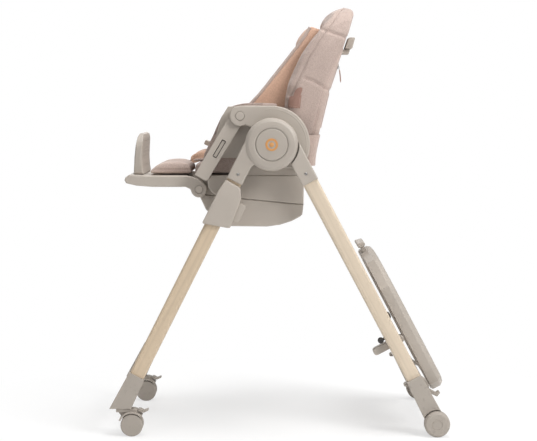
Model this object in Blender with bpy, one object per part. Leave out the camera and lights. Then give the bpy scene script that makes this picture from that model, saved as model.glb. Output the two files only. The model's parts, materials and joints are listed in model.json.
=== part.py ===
"""Baby high chair: wooden A-frame on hubs, height-adjustable reclining seat, leg rest, stored tray.

Metres, +Z up, the seated child faces -Y, +X is the child's left. The origin is on the floor, under the
middle of the chair's bounding box. Every side outline is drawn in the YZ plane and extruded along X.
"""

from math import asin, atan2, cos, pi, radians, sin

import bmesh
import bpy
from mathutils import Vector

# ---- driving dimensions -------------------------------------------------------------------------
GAP = 0.0003  # left between solids that touch
HUB = (-0.019, 0.706)  # hub axis, (y, z)
FRONT_LEAN = radians(26.7)
REAR_LEAN = radians(27.8)
LEG_OFFSET = 0.040  # from the hub axis to a leg's centreline
LEG_X = 0.240  # middle plane of the left legs
LEG_THICK = 0.026
FRONT_LEG_WIDE = 0.037
REAR_LEG_WIDE = (0.038, 0.035)  # at the bracket, at the foot
BRACKET_END = 0.1190  # how far down the leg the hub bracket reaches
FOOT_START = 0.646
REAR_FOOT_START = 0.661
FRONT_TIP = -0.412

RING_R = 0.064
CAP_R = 0.0385
DISC_R = 0.060  # rear bracket's disc, behind the ring
RING_X = (0.2405, 0.266)
DISC_X = (0.2225, 0.2400)
BRACKET_X = (0.2235, 0.2597)
HUB_PIN_R = 0.008

REAR_WHEEL = (0.381, 0.031)  # axle, (y, z)
REAR_WHEEL_R = 0.031
REAR_WHEEL_X = (0.247, 0.2775)
CASTER_STEM_Y = -0.380
CASTER_AXLE = (-0.358, 0.027)
CASTER_R = 0.027
FOOT_SOLE = 0.067  # underside of the front foot

SEAT_HALF = 0.186
SEAT_TOP = 0.630
NOSE_HALF = 0.148  # seat base between the leg rest's ears
SEAM = ((-0.215, 0.5835), (0.075, 0.5565))  # between seat base and its bottom cover
WALL = 0.004
PANEL_X = (0.1795, 0.1865)  # inner panel of the seat side
CORE_X = (0.1860, 0.2090)
CHEEK_X = (0.2085, 0.2195)

ARM_PIVOT = (-0.0955, 0.774)
ARM_LEAN = radians(30.9)
ARM_LENGTH = 0.178
ARM_X = (0.1872, 0.2078)
LEG_REST_PIVOT = (-0.197, 0.594)
LEG_REST_HALF = 0.168
LEG_REST_TOP = 0.627
LEG_REST_END = -0.380
EAR_R = 0.020
FOOTPLATE_Y = (-0.359, -0.341)
FOOTPLATE_HALF = 0.130
RECLINE_PIVOT = (0.060, 0.668)
BUCKLE = (-0.1700, 0.6996)
PIN_R = 0.006

TRAY_S = (0.352, 0.719)  # along the rear leg, from the hub
TRAY_W = (0.0690, 0.1025)  # behind the rear leg
TRAY_HALF = 0.225

# Slot: colour (linear), roughness, metallic
SLOTS = {
    "taupe_plastic": ((0.44, 0.39, 0.33), 0.45, 0.0),
    "wheel_plastic": ((0.34, 0.31, 0.27), 0.50, 0.0),
    "ash_wood": ((0.73, 0.59, 0.41), 0.55, 0.0),
    "rose_fabric": ((0.58, 0.48, 0.44), 0.90, 0.0),
    "peach_fabric": ((0.66, 0.42, 0.30), 0.90, 0.0),
    "strap_webbing": ((0.50, 0.44, 0.35), 0.85, 0.0),
    "steel": ((0.60, 0.60, 0.60), 0.30, 1.0),
    "dark_rubber": ((0.05, 0.045, 0.04), 0.70, 0.0),
}

# Body: (parent body, pivot (x, y, z)). A piece's origin is its body's pivot.
PIVOTS = {"frame": (None, (0, 0, 0))}
EMPTIES = {}
SIDES = (("left", 1), ("right", -1))


# ---- frames and outlines ------------------------------------------------------------------------
def front(s, w):
    """Point (y, z), s down the front leg's direction from the hub axis and w to its rear."""
    y = HUB[0] - s * sin(FRONT_LEAN) + w * cos(FRONT_LEAN)
    return y, HUB[1] - s * cos(FRONT_LEAN) - w * sin(FRONT_LEAN)


def rear(s, w):
    """Point (y, z), s down the rear leg's direction from the hub axis and w to its rear."""
    y = HUB[0] + s * sin(REAR_LEAN) + w * cos(REAR_LEAN)
    return y, HUB[1] - s * cos(REAR_LEAN) + w * sin(REAR_LEAN)


def arm(s, w):
    """Point (y, z), s down the lowered armrest from its pivot and w to its rear."""
    y = ARM_PIVOT[0] - s * sin(ARM_LEAN) + w * cos(ARM_LEAN)
    return y, ARM_PIVOT[1] - s * cos(ARM_LEAN) - w * sin(ARM_LEAN)


def arc(centre, radius, start, end, steps=8):
    """Points of an arc, angles in degrees from +Y towards +Z."""
    turn = [radians(start + (end - start) * i / steps) for i in range(steps + 1)]
    return [(centre[0] + radius * cos(a), centre[1] + radius * sin(a)) for a in turn]


def rounded(points, radius, steps=3):
    """A closed outline with each corner rounded by an arc-like curve of about that radius."""
    out = []
    for i, point in enumerate(points):
        here = Vector(point)
        before, after = Vector(points[i - 1]) - here, Vector(points[(i + 1) % len(points)]) - here
        reach = min(radius, before.length * 0.45, after.length * 0.45)
        start, end = here + before.normalized() * reach, here + after.normalized() * reach
        for k in range(steps + 1):
            t = k / steps
            out.append(tuple(start * (1 - t) ** 2 + here * 2 * t * (1 - t) + end * t**2))
    return out


def seam_z(y):
    """Height of the parting line between seat base and bottom cover."""
    (y0, z0), (y1, z1) = SEAM
    return z0 + (z1 - z0) * (y - y0) / (y1 - y0)


# ---- solids -------------------------------------------------------------------------------------
def outward(bm):
    """Turns a closed solid's faces outward."""
    bmesh.ops.recalc_face_normals(bm, faces=bm.faces)
    if bm.calc_volume(signed=True) < 0:
        bmesh.ops.reverse_faces(bm, faces=bm.faces)
    return bm


def prism(outline, x0, x1, edge=0.0, steps=2):
    """A YZ outline extruded from x0 to x1, with its rim edges rounded by edge."""
    bm = bmesh.new()
    ring = [bm.verts.new((x0, y, z)) for y, z in outline]
    face = bm.faces.new(ring)
    made = bmesh.ops.extrude_face_region(bm, geom=[face])
    top = [g for g in made["geom"] if isinstance(g, bmesh.types.BMVert)]
    bmesh.ops.translate(bm, vec=(x1 - x0, 0, 0), verts=top)
    if edge:
        rims = [e for e in bm.edges if abs(e.verts[0].co.x - e.verts[1].co.x) < 1e-7]
        bmesh.ops.bevel(bm, geom=rims, offset=edge, segments=steps, profile=0.5, affect="EDGES",
                        clamp_overlap=True)
    return outward(bm)


def loft(rings):
    """A closed solid through rings of equal length, capped at both ends."""
    bm = bmesh.new()
    rows = [[bm.verts.new(p) for p in ring] for ring in rings]
    for a, b in zip(rows, rows[1:]):
        for i in range(len(a)):
            j = (i + 1) % len(a)
            bm.faces.new((a[i], a[j], b[j], b[i]))
    bm.faces.new(rows[0])
    bm.faces.new(rows[-1])
    return outward(bm)


def turned(profile, centre, steps=32, axis="X"):
    """A profile of (along, radius) turned about an axis through centre, from radius 0 to radius 0.

    A profile that starts off the axis is closed on itself instead, which makes a hollow ring.
    """
    bm = bmesh.new()
    rows = []
    for along, radius in profile:
        count = steps if radius > 1e-6 else 1
        row = []
        for i in range(count):
            u, v = radius * cos(2 * pi * i / count), radius * sin(2 * pi * i / count)
            if axis == "X":
                row.append(bm.verts.new((along, centre[0] + u, centre[1] + v)))
            else:
                row.append(bm.verts.new((centre[0] + u, centre[1] + v, along)))
        rows.append(row)
    following = rows[1:] + (rows[:1] if profile[0][1] > 1e-6 else [])
    for a, b in zip(rows, following):
        for i in range(steps):
            j = (i + 1) % steps
            quad = (a[i % len(a)], a[j % len(a)], b[j % len(b)], b[i % len(b)])
            bm.faces.new(dict.fromkeys(quad))
    return outward(bm)


def rod(centre, radius, x0, x1, steps=20, edge=0.0):
    """A plain round bar along X."""
    return turned([(x0, 0), (x0, radius - edge), (x0 + edge, radius), (x1 - edge, radius),
                   (x1, radius - edge), (x1, 0)] if edge else
                  [(x0, 0), (x0, radius), (x1, radius), (x1, 0)], centre, steps)


def leg_bar(place, s0, s1, wide0, wide1, thick, w=None, radius=0.009):
    """A bar along a leg with a round-cornered section; place is front() or rear()."""
    side = LEG_OFFSET if place is rear else -LEG_OFFSET
    middle = side if w is None else w
    rings = []
    for s, wide in ((s0, wide0), (s1, wide1)):
        half, deep = wide / 2, thick / 2
        section = rounded([(-half, -deep), (half, -deep), (half, deep), (-half, deep)], radius)
        rings.append([(LEG_X + x, *place(s, middle + u)) for u, x in section])
    return loft(rings)


def box(x, y, z):
    """A box from three (low, high) pairs."""
    return prism([(y[0], z[0]), (y[1], z[0]), (y[1], z[1]), (y[0], z[1])], *x)


def flip(bm, side):
    """The right-hand twin of a left-hand solid."""
    if side < 0:
        for v in bm.verts:
            v.co.x = -v.co.x
        bmesh.ops.reverse_faces(bm, faces=bm.faces)
    return bm


# ---- objects ------------------------------------------------------------------------------------
def clear_scene():
    for obj in list(bpy.data.objects):
        bpy.data.objects.remove(obj, do_unlink=True)


def material(slot):
    found = bpy.data.materials.get(slot)
    if found:
        return found
    colour, roughness, metallic = SLOTS[slot]
    found = bpy.data.materials.new(slot)
    found.use_nodes = True
    shader = found.node_tree.nodes["Principled BSDF"]
    shader.inputs["Base Color"].default_value = (*colour, 1.0)
    shader.inputs["Roughness"].default_value = roughness
    shader.inputs["Metallic"].default_value = metallic
    return found


def body(name, parent, pivot):
    """An empty on a joint's axis, which the body's pieces hang from."""
    PIVOTS[name] = (parent, pivot)


def empty_of(name):
    if name in EMPTIES:
        return EMPTIES[name]
    parent, pivot = PIVOTS[name]
    made = bpy.data.objects.new("body_" + name, None)
    bpy.context.scene.collection.objects.link(made)
    made.location = pivot
    if parent:
        made.parent = empty_of(parent)
        made.location = Vector(pivot) - Vector(PIVOTS[parent][1])
    EMPTIES[name] = made
    return made


def make(name, bm, slot=None, owner="frame"):
    """An object from a solid in chair coordinates; with no slot it's a cutter or a piece to unite."""
    pivot = Vector(PIVOTS[owner][1]) if slot else Vector()
    bmesh.ops.translate(bm, vec=-pivot, verts=bm.verts)
    mesh = bpy.data.meshes.new(name)
    bm.to_mesh(mesh)
    bm.free()
    mesh.shade_smooth()
    mesh.set_sharp_from_angle(angle=radians(35))
    obj = bpy.data.objects.new(name, mesh)
    bpy.context.scene.collection.objects.link(obj)
    if slot:
        mesh.materials.append(material(slot))
        obj.parent = empty_of(owner)
    else:
        obj.hide_render = True
        obj.display_type = "WIRE"
    return obj


def combine(obj, operation, *solids):
    """Cuts solids from obj, or unites them with it, by Boolean modifiers."""
    for i, bm in enumerate(solids):
        other = make(f"{obj.name}_{operation.lower()}_{len(obj.modifiers)}_{i}", bm)
        modifier = obj.modifiers.new(f"{operation.lower()}_{i}", "BOOLEAN")
        modifier.operation = operation
        modifier.solver = "EXACT"
        modifier.object = other
    return obj


def cut(obj, *solids):
    return combine(obj, "DIFFERENCE", *solids)


def unite(obj, *solids):
    return combine(obj, "UNION", *solids)


# ---- the leg frame ------------------------------------------------------------------------------
def hub_ring(label, side):
    """Outer hub ring, its inner spigot and the front leg's bracket; the rear bracket turns behind it."""
    x0, x1 = RING_X
    pin = HUB_PIN_R
    ring = [(0.2225, 0), (0.2225, pin), (x0, pin), (x0, RING_R), (0.254, RING_R), (0.261, 0.0615),
            (x1 - 0.001, 0.055), (x1, 0.048), (x1, 0.0425), (x1 - 0.0020, CAP_R - 0.001),
            (x1 - 0.0020, 0)]
    outline = [front(-0.004, -0.0603), front(BRACKET_END, -0.0603), front(BRACKET_END, -0.0197),
               front(0.070, -0.0197), front(0.056, -0.012), front(0.016, 0.010)]
    obj = make(f"hub_ring_{label}", flip(turned(ring, HUB, 40), side), "taupe_plastic")
    bracket = prism(outline, *BRACKET_X, edge=0.003)
    behind = turned([(0.215, pin + GAP), (0.215, DISC_R + 0.002), (x0, DISC_R + 0.002),
                     (x0, pin + GAP)], HUB, 40)
    unite(obj, flip(bracket, side))
    cut(obj, flip(behind, side),
        flip(leg_bar(front, 0.070, 0.14, FRONT_LEG_WIDE + 2 * GAP, FRONT_LEG_WIDE + 2 * GAP,
                     LEG_THICK + 2 * GAP), side),
        flip(rod(front(0.100, -LEG_OFFSET), 0.0040, 0.2567, 0.270, 12), side),
        flip(rod(HUB, CAP_R + 0.0008, 0.2568, 0.270, 40), side))
    cap = [(0.2603, 0), (0.2603, CAP_R), (0.2655, CAP_R), (0.2670, CAP_R - 0.002), (0.2678, 0.020),
           (0.2680, 0)]
    make(f"hub_cap_{label}", flip(turned(cap, HUB, 40), side), "taupe_plastic", f"fold_button_{label}")


def rear_bracket(label, side):
    """Disc that turns on the hub pin, with the rear leg's bracket."""
    outline = [rear(0.0, 0.0605), rear(0.0, 0.010), rear(0.058, 0.0195), rear(0.1236, 0.0195),
               rear(0.1236, 0.0605)]
    obj = make(f"rear_bracket_{label}", flip(rod(HUB, DISC_R, *DISC_X, 40), side), "taupe_plastic",
               "rear_frame")
    unite(obj, flip(prism(outline, *BRACKET_X, edge=0.003), side))
    clear = rod(HUB, RING_R + 0.0025, DISC_X[1], 0.275, 40)
    cut(obj, flip(clear, side),
        flip(leg_bar(rear, 0.072, 0.14, REAR_LEG_WIDE[0] + 2 * GAP, REAR_LEG_WIDE[0] + 2 * GAP,
                     LEG_THICK + 2 * GAP), side),
        flip(rod(HUB, HUB_PIN_R + GAP, 0.21, 0.25), side),
        flip(rod(rear(0.100, LEG_OFFSET), 0.0040, 0.2567, 0.270, 12), side))


def wooden_legs(label, side):
    leg = leg_bar(front, 0.0755, 0.698, FRONT_LEG_WIDE, FRONT_LEG_WIDE, LEG_THICK)
    make(f"front_leg_{label}", flip(leg, side), "ash_wood")
    leg = leg_bar(rear, 0.0765, 0.735, *REAR_LEG_WIDE, LEG_THICK)
    make(f"rear_leg_{label}", flip(leg, side), "ash_wood", "rear_frame")
    screw = [(0.2570, 0), (0.2570, 0.0036), (0.2590, 0.0036), (0.2600, 0.0024), (0.2600, 0)]
    head = turned(screw, front(0.100, -LEG_OFFSET), 12)
    make(f"front_leg_screw_{label}", flip(head, side), "steel")
    head = turned(screw, rear(0.100, LEG_OFFSET), 12)
    make(f"rear_leg_screw_{label}", flip(head, side), "steel", "rear_frame")


def front_foot(label, side):
    """Plastic boot on the front leg, cut level over the caster."""
    outline = rounded([front(FOOT_START, -0.0603), front(FOOT_START, -0.0197), (-0.3590, FOOT_SOLE),
                       (FRONT_TIP, FOOT_SOLE)], 0.0015, 2)
    # the rounding would pull the toe in, so it stays sharp there
    outline[-3:] = [(FRONT_TIP, FOOT_SOLE)]
    obj = make(f"front_foot_{label}", flip(prism(outline, 0.2215, 0.2585), side), "taupe_plastic")
    wide = FRONT_LEG_WIDE + 2 * GAP
    cut(obj, flip(leg_bar(front, 0.60, 0.699, wide, wide, LEG_THICK + 2 * GAP), side),
        flip(turned([(0.05, 0), (0.05, 0.0055), (0.094, 0.0055), (0.094, 0)],
                    (LEG_X, CASTER_STEM_Y), 16, "Z"), side),
        flip(rod(front(0.712, -LEG_OFFSET), 0.009 + GAP, 0.215, 0.2295), side))


def rear_foot(label, side):
    """Plastic boot that ends in an arc round the wheel, with an inner cheek that carries the axle."""
    outline = [rear(REAR_FOOT_START, 0.0205), rear(0.783, 0.0170), rear(0.783, 0.0630),
               rear(REAR_FOOT_START, 0.0595)]
    obj = make(f"rear_foot_{label}", flip(prism(outline, 0.2235, 0.2600, edge=0.002), side),
               "taupe_plastic", "rear_frame")
    unite(obj, flip(rod(REAR_WHEEL, 0.0235, 0.2237, 0.2460, 24), side))
    hook = [rear(0.700, 0.058), rear(0.713, 0.058), rear(0.729, 0.070), rear(0.7240, 0.081),
            rear(0.7205, 0.080), rear(0.7215, 0.072)]
    unite(obj, flip(prism(hook, 0.2120, 0.2400), side))
    wide = REAR_LEG_WIDE[1] + 2 * GAP
    cut(obj, flip(rod(REAR_WHEEL, REAR_WHEEL_R + 0.0025, 0.2462, 0.30, 32), side),
        flip(leg_bar(rear, 0.62, 0.736, wide + 0.0004, wide, LEG_THICK + 2 * GAP), side))
    unite(obj, flip(rod(REAR_WHEEL, 0.004, 0.2440, 0.2612, 16), side))


def rear_wheel(label, side):
    x0, x1 = REAR_WHEEL_X
    r = REAR_WHEEL_R
    profile = [(0.262, 0), (0.262, 0.0043), (x0, 0.0043), (x0, r - 0.002), (x0 + 0.002, r), (0.271, r),
               (x1 - 0.0015, r - 0.0025), (x1, r - 0.006), (x1, 0.0135), (x1 - 0.001, 0.0128),
               (x1 - 0.001, 0)]
    make(f"rear_wheel_{label}", flip(turned(profile, REAR_WHEEL, 36), side), "wheel_plastic",
         f"rear_wheel_{label}")


def crossbars():
    """Front foot tube, and the rear rack: a bar between the rear legs with lugs for the stored tray."""
    bar = rod(front(0.712, -LEG_OFFSET), 0.009, -0.229, 0.229, 20)
    make("front_crossbar", bar, "taupe_plastic")
    rack = make("tray_rack", rod(rear(0.5645, LEG_OFFSET), 0.0085, -0.2260, 0.2260, 20),
                "taupe_plastic", "rear_frame")
    for _, side in SIDES:
        # only the left lug runs on to the front, as a hook for the folded strap
        start = -0.017 if side > 0 else 0.026
        lug = rounded([rear(0.555, start), rear(0.574, start), rear(0.574, 0.0650),
                       rear(0.555, 0.0650)], 0.008)
        unite(rack, flip(prism(lug, 0.2060, 0.2266, edge=0.002), side))


# ---- casters ------------------------------------------------------------------------------------
def caster(label, side):
    """Twin-wheel caster: housing on a stem, wheels on one axle, brake pedal."""
    owner = f"caster_{label}"
    middle = arc(CASTER_AXLE, 0.0085, 200, 340, 6) + [(-0.3440, 0.0600), (-0.3930, 0.0600)]
    obj = make(f"caster_housing_{label}", flip(prism(middle, 0.2335, 0.2465), side), "wheel_plastic",
               owner)
    shield = (arc(CASTER_AXLE, 0.0335, 42, 158, 12) + arc(CASTER_AXLE, 0.0290, 158, 42, 12))
    plate = [(-0.3960, 0.0580), (-0.3440, 0.0580), (-0.3440, 0.0640), (-0.3520, 0.0664),
             (-0.3960, 0.0664)]
    stem = turned([(0.0600, 0), (0.0600, 0.0050), (0.0930, 0.0050), (0.0930, 0)],
                  (LEG_X, CASTER_STEM_Y), 16, "Z")
    unite(obj, flip(prism(shield, 0.2165, 0.2635, edge=0.001), side),
          flip(prism(plate, 0.2250, 0.2550, edge=0.001), side), flip(stem, side))
    cut(obj, flip(rod(CASTER_AXLE, 0.0033, 0.22, 0.26, 12), side))
    r = CASTER_R
    half = [(0.2170, 0), (0.2170, r - 0.003), (0.2185, r - 0.0005), (0.2200, r), (0.2310, r),
            (0.2325, r - 0.0015), (0.2325, 0.003)]
    other = [(2 * LEG_X - x, radius) for x, radius in reversed(half)]
    make(f"caster_wheels_{label}", flip(turned(half + other, CASTER_AXLE, 28), side), "wheel_plastic",
         f"caster_wheels_{label}")
    pedal = [(-0.3425, 0.0600), (-0.3425, 0.0655), (-0.3370, 0.0655), (-0.3290, 0.0610),
             (-0.3190, 0.0650), (-0.3175, 0.0620), (-0.3290, 0.0565), (-0.3370, 0.0590)]
    make(f"brake_pedal_{label}", flip(prism(pedal, 0.2280, 0.2520, edge=0.0006), side),
         "wheel_plastic", f"brake_{label}")


# ---- the seat -----------------------------------------------------------------------------------
def seat_outline(inset=0.0, bottom=True):
    """Side outline of the seat box; the lower half below the seam if bottom."""
    i = inset
    under = [(-0.1990 + i, 0.5720), (-0.1810 + i, 0.5430 + i * 0.5), (-0.1500 + i, 0.5160 + i),
             (-0.1200, 0.5055 + i), (-0.0300, 0.5040 + i), (0.0260, 0.5160 + i),
             (0.0560 - i, 0.5330 + i)]
    if bottom:
        return [(-0.1990 + i, seam_z(-0.199) - GAP)] + under[1:] + [(0.0590 - i, seam_z(0.059) - GAP)]
    return [(-0.1990 + i, seam_z(-0.199) + GAP), (0.0590 - i, seam_z(0.059) + GAP),
            (0.0600 - i, SEAT_TOP - i), (-0.2050 + i, SEAT_TOP - i), (-0.2130 + i, 0.6220 - i),
            (-0.2160 + i, 0.6000)]


def seat_base():
    """Upper half of the seat box: pan, walls, and a nose between the leg rest's ears."""
    obj = make("seat_base", prism(seat_outline(bottom=False), -NOSE_HALF, NOSE_HALF), "taupe_plastic",
               "seat")
    flank = [(-0.1480, seam_z(-0.148) + GAP), (0.0590, seam_z(0.059) + GAP), (0.0600, SEAT_TOP),
             (-0.1640, SEAT_TOP), (-0.1760, 0.6210), (-0.1735, 0.6000), (-0.1640, 0.5870)]
    unite(obj, prism(flank, -SEAT_HALF, SEAT_HALF, edge=0.003))
    hollow = [(-0.1480, 0.55), (0.0550, 0.55), (0.0555, SEAT_TOP - WALL), (-0.1620, SEAT_TOP - WALL),
              (-0.1690, 0.6190), (-0.1680, 0.6010), (-0.1570, 0.5880)]
    cut(obj, prism(hollow, -SEAT_HALF + WALL, SEAT_HALF - WALL))
    cut(obj, rod(LEG_REST_PIVOT, PIN_R + GAP, -0.16, 0.16, 16))


def seat_bottom_cover():
    """Lower half of the seat box, an open-topped tub with a narrower nose."""
    nose = seat_outline()
    obj = make("seat_bottom_cover", prism(nose, -NOSE_HALF, NOSE_HALF, edge=0.003), "taupe_plastic",
               "seat")
    wide = [(-0.1480, seam_z(-0.148) - GAP), (-0.1480, 0.5230), (-0.1350, 0.5110), (-0.1180, 0.5050),
            (-0.0300, 0.5040), (0.0020, 0.5085), (0.0300, 0.5175), (0.0500, 0.5280), (0.0560, 0.5340),
            (0.0590, seam_z(0.059) - GAP)]
    unite(obj, prism(wide, -SEAT_HALF, SEAT_HALF, edge=0.003))
    hollow = [(-0.1410, 0.60), (-0.1410, 0.5260), (-0.1190, 0.5095), (-0.0300, 0.5080),
              (0.0240, 0.5200), (0.0520, 0.5360), (0.0550, 0.60)]
    cut(obj, prism(hollow, -SEAT_HALF + WALL, SEAT_HALF - WALL))
    cavity = [(-0.1960, 0.60), (-0.1930, 0.5720), (-0.1760, 0.5480), (-0.1400, 0.5200),
              (-0.1400, 0.60)]
    cut(obj, prism(cavity, -NOSE_HALF + WALL, NOSE_HALF - WALL))


def seat_side(label, side):
    """Side of the seat: inner panel, core and the outer cheek that the armrest pivots under."""
    lobe = arc(ARM_PIVOT, 0.025, 90, 300, 12)
    round_hub = arc(HUB, 0.0930, -40, 84, 14)
    cheek = lobe + [(-0.0640, 0.7450), (-0.0600, 0.7000), (-0.0100, 0.6500)] + round_hub
    panel = [(-0.1250, 0.7970), (-0.1420, 0.7700), (-0.1680, 0.6750), (-0.1640, 0.6720),
             (-0.0900, 0.6720), (-0.0900, SEAT_TOP + GAP), (0.0500, SEAT_TOP + GAP),
             (0.0600, 0.6450)] + arc(HUB, 0.0920, -30, 84, 10)
    core = [(-0.0620, 0.7980), (-0.0620, 0.7000), (-0.0620, 0.6500), (0.0300, 0.6500)]
    core += arc(HUB, 0.0925, -35, 82, 10)
    obj = make(f"seat_side_{label}", flip(prism(cheek, *CHEEK_X, edge=0.003), side), "taupe_plastic",
               "seat")
    unite(obj, flip(prism(core, *CORE_X), side), flip(prism(panel, *PANEL_X, edge=0.001), side))
    unite(obj, flip(rod(ARM_PIVOT, PIN_R, 0.1830, 0.2080, 16), side))
    cut(obj, flip(rod(ARM_PIVOT, 0.0115, 0.2083, 0.23, 24), side),
        flip(rod(RECLINE_PIVOT, PIN_R + GAP, 0.17, 0.1860, 16), side))


def slider(label, side):
    """Height carriage that runs on the front leg and carries the seat box."""
    outline = rounded([front(0.1240, -0.0605), front(0.1265, -0.0200), front(0.1500, -0.0065),
                       front(0.2244, 0.0010), front(0.2440, -0.0650), front(0.1600, -0.0650)], 0.005)
    obj = make(f"slider_{label}", flip(prism(outline, 0.2205, 0.2630, edge=0.003), side),
               "taupe_plastic", "seat")
    boss = [front(0.150, -0.052), front(0.150, -0.012), front(0.215, -0.008), front(0.215, -0.052)]
    unite(obj, flip(prism(boss, SEAT_HALF + GAP, 0.2220), side))
    wide = FRONT_LEG_WIDE + 0.001
    pocket = [front(0.1590, -0.0150), front(0.1590, 0.010), front(0.2060, 0.010),
              front(0.2060, -0.0150)]
    cut(obj, flip(leg_bar(front, 0.10, 0.27, wide, wide, LEG_THICK + 0.001), side),
        flip(prism(pocket, 0.2310, 0.2530), side))
    lever = [front(0.1594, -0.0060), front(0.1594, 0.0120), front(0.2056, 0.0120),
             front(0.2056, -0.0060)]
    make(f"height_lever_{label}", flip(prism(rounded(lever, 0.003, 2), 0.2314, 0.2526, edge=0.001),
                                       side), "taupe_plastic", f"height_lever_{label}")


def armrest(label, side):
    """Folding armrest with the tray's latch pocket in its outer face."""
    end = ARM_LENGTH
    outline = arc(ARM_PIVOT, 0.0215, 20, 150, 8) + [arm(0.0, -0.0215), arm(end, -0.0215)]
    outline += rounded([arm(end, -0.0215), arm(end, 0.0120), arm(0.0, 0.0180)], 0.008)[4:8]
    outline += [arm(0.015, 0.0130)]
    obj = make(f"armrest_{label}", flip(prism(outline, *ARM_X, edge=0.002), side), "taupe_plastic",
               f"armrest_{label}")
    pocket = [arm(0.070, -0.0080), arm(0.118, -0.0080), arm(0.118, 0.0030), arm(0.070, 0.0030)]
    cut(obj, flip(rod(ARM_PIVOT, PIN_R + GAP, 0.17, 0.22, 16), side),
        flip(prism(pocket, 0.2040, 0.22), side))
    button = turned([(0.2112, 0), (0.2112, 0.0108), (0.2195, 0.0108), (0.2205, 0.0098), (0.2205, 0)],
                    ARM_PIVOT, 24)
    make(f"armrest_button_{label}", flip(button, side), "taupe_plastic", f"armrest_button_{label}")


def pivot_rods():
    """Steel rods across the seat that the leg rest and the backrest turn on."""
    make("leg_rest_rod", rod(LEG_REST_PIVOT, PIN_R, -0.1620, 0.1620, 16), "steel", "seat")
    make("recline_rod", rod(RECLINE_PIVOT, PIN_R, -0.1855, 0.1855, 16), "steel", "seat")


# ---- leg rest -----------------------------------------------------------------------------------
def leg_rest():
    """Calf board with two ears on the pivot, and a footplate that slides along it."""
    top, end = LEG_REST_TOP, LEG_REST_END
    outline = [(end + 0.012, top + 0.003), (end + 0.003, top - 0.003), (end, top - 0.010),
               (end + 0.004, top - 0.018), (-0.3500, 0.6030), (-0.3100, 0.6000), (-0.2300, 0.6000),
               (-0.2190, 0.5950)]
    outline += arc(LEG_REST_PIVOT, EAR_R, 190, 410, 12) + [(-0.2000, 0.6200), (-0.2160, 0.6255),
                                                           (-0.2300, top), (-0.3200, top)]
    obj = make("leg_rest", prism(outline, -LEG_REST_HALF, LEG_REST_HALF, edge=0.003), "taupe_plastic",
               "leg_rest")
    between = [(-0.2260, 0.5500), (-0.1500, 0.5500), (-0.1500, 0.6500), (-0.2260, 0.6500)]
    cut(obj, prism(between, -NOSE_HALF - 0.0015, NOSE_HALF + 0.0015))
    under = [(-0.3650, 0.5900), (-0.2320, 0.5900), (-0.2320, 0.6120), (-0.3650, 0.6120)]
    cut(obj, prism(under, -0.158, 0.158))
    for _, side in SIDES:
        groove = box((0.050, 0.070), (-0.3655, -0.2850), (0.6050, 0.6350))
        cut(obj, flip(groove, side), flip(rod(LEG_REST_PIVOT, PIN_R + GAP, 0.14, 0.17, 16), side),
            flip(rod(LEG_REST_PIVOT, 0.0105, 0.1635, 0.18, 24), side))
    for label, side in SIDES:
        button = turned([(0.1662, 0), (0.1662, 0.0098), (0.1690, 0.0098), (0.1700, 0.0088),
                         (0.1700, 0)], LEG_REST_PIVOT, 24)
        make(f"leg_rest_button_{label}", flip(button, side), "taupe_plastic",
             f"leg_rest_button_{label}")


def footplate():
    """Upright foot board, hollowed towards the feet, with two tongues in the leg rest's grooves."""
    low = LEG_REST_TOP + 0.0028
    outline = [(-0.3600, low), (-0.3597, 0.6400), (-0.3580, 0.6720), (-0.3550, 0.7000),
               (-0.3512, 0.7200), (-0.3470, 0.7290), (-0.3420, 0.7310), (-0.3378, 0.7275),
               (-0.3365, 0.7180), (-0.3378, 0.6980), (-0.3390, 0.6700), (-0.3378, 0.6450),
               (-0.3350, low)]
    obj = make("footplate", prism(outline, -FOOTPLATE_HALF, FOOTPLATE_HALF, edge=0.004),
               "taupe_plastic", "footplate")
    corner = 0.042
    face = [(-FOOTPLATE_HALF - 0.01, 0.60), (FOOTPLATE_HALF + 0.01, 0.60)]
    for sign, start, end in ((1, 0, 90), (-1, 90, 180)):
        centre = (sign * (FOOTPLATE_HALF + 0.0005 - corner), 0.7312 - corner)
        face += arc(centre, corner, start, end, 6)
    combine(obj, "INTERSECT", loft([[(x, y, z) for x, z in face] for y in (-0.40, -0.28)]))
    y0, y1 = FOOTPLATE_Y
    for _, side in SIDES:
        unite(obj, flip(box((0.0504, 0.0696), (y0 + 0.002, y1 - 0.002), (0.6125, 0.640)), side))


# ---- backrest -----------------------------------------------------------------------------------
BACK_REAR = [(0.0900, 0.6700), (0.0980, 0.7200), (0.1260, 0.8370), (0.1640, 0.9500),
             (0.1860, 1.0200)]
BACK_FRONT = [(0.0250, 0.7150), (0.0110, 0.7600), (0.0110, 0.8000), (0.0200, 0.8550),
              (0.0530, 0.9290), (0.0990, 0.9980), (0.1330, 1.0350), (0.1600, 1.0460),
              (0.1800, 1.0400)]


def shifted(points, dy, dz=0.0):
    return [(y + dy, z + dz) for y, z in points]


def front_view(half, corner_z, top_z, top_half, depth):
    """A solid that fills the back's front outline, to intersect with."""
    face = [(-half, 0.60), (half, 0.60), (half, corner_z)]
    for i in range(1, 8):
        a = i / 8 * pi / 2
        face.append((top_half + (half - top_half) * cos(a), corner_z + (top_z - corner_z) * sin(a)))
    face += [(top_half, top_z)]
    face += [(-x, z) for x, z in reversed(face[2:])]
    return loft([[(x, y, z) for x, z in face] for y in depth])


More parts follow.
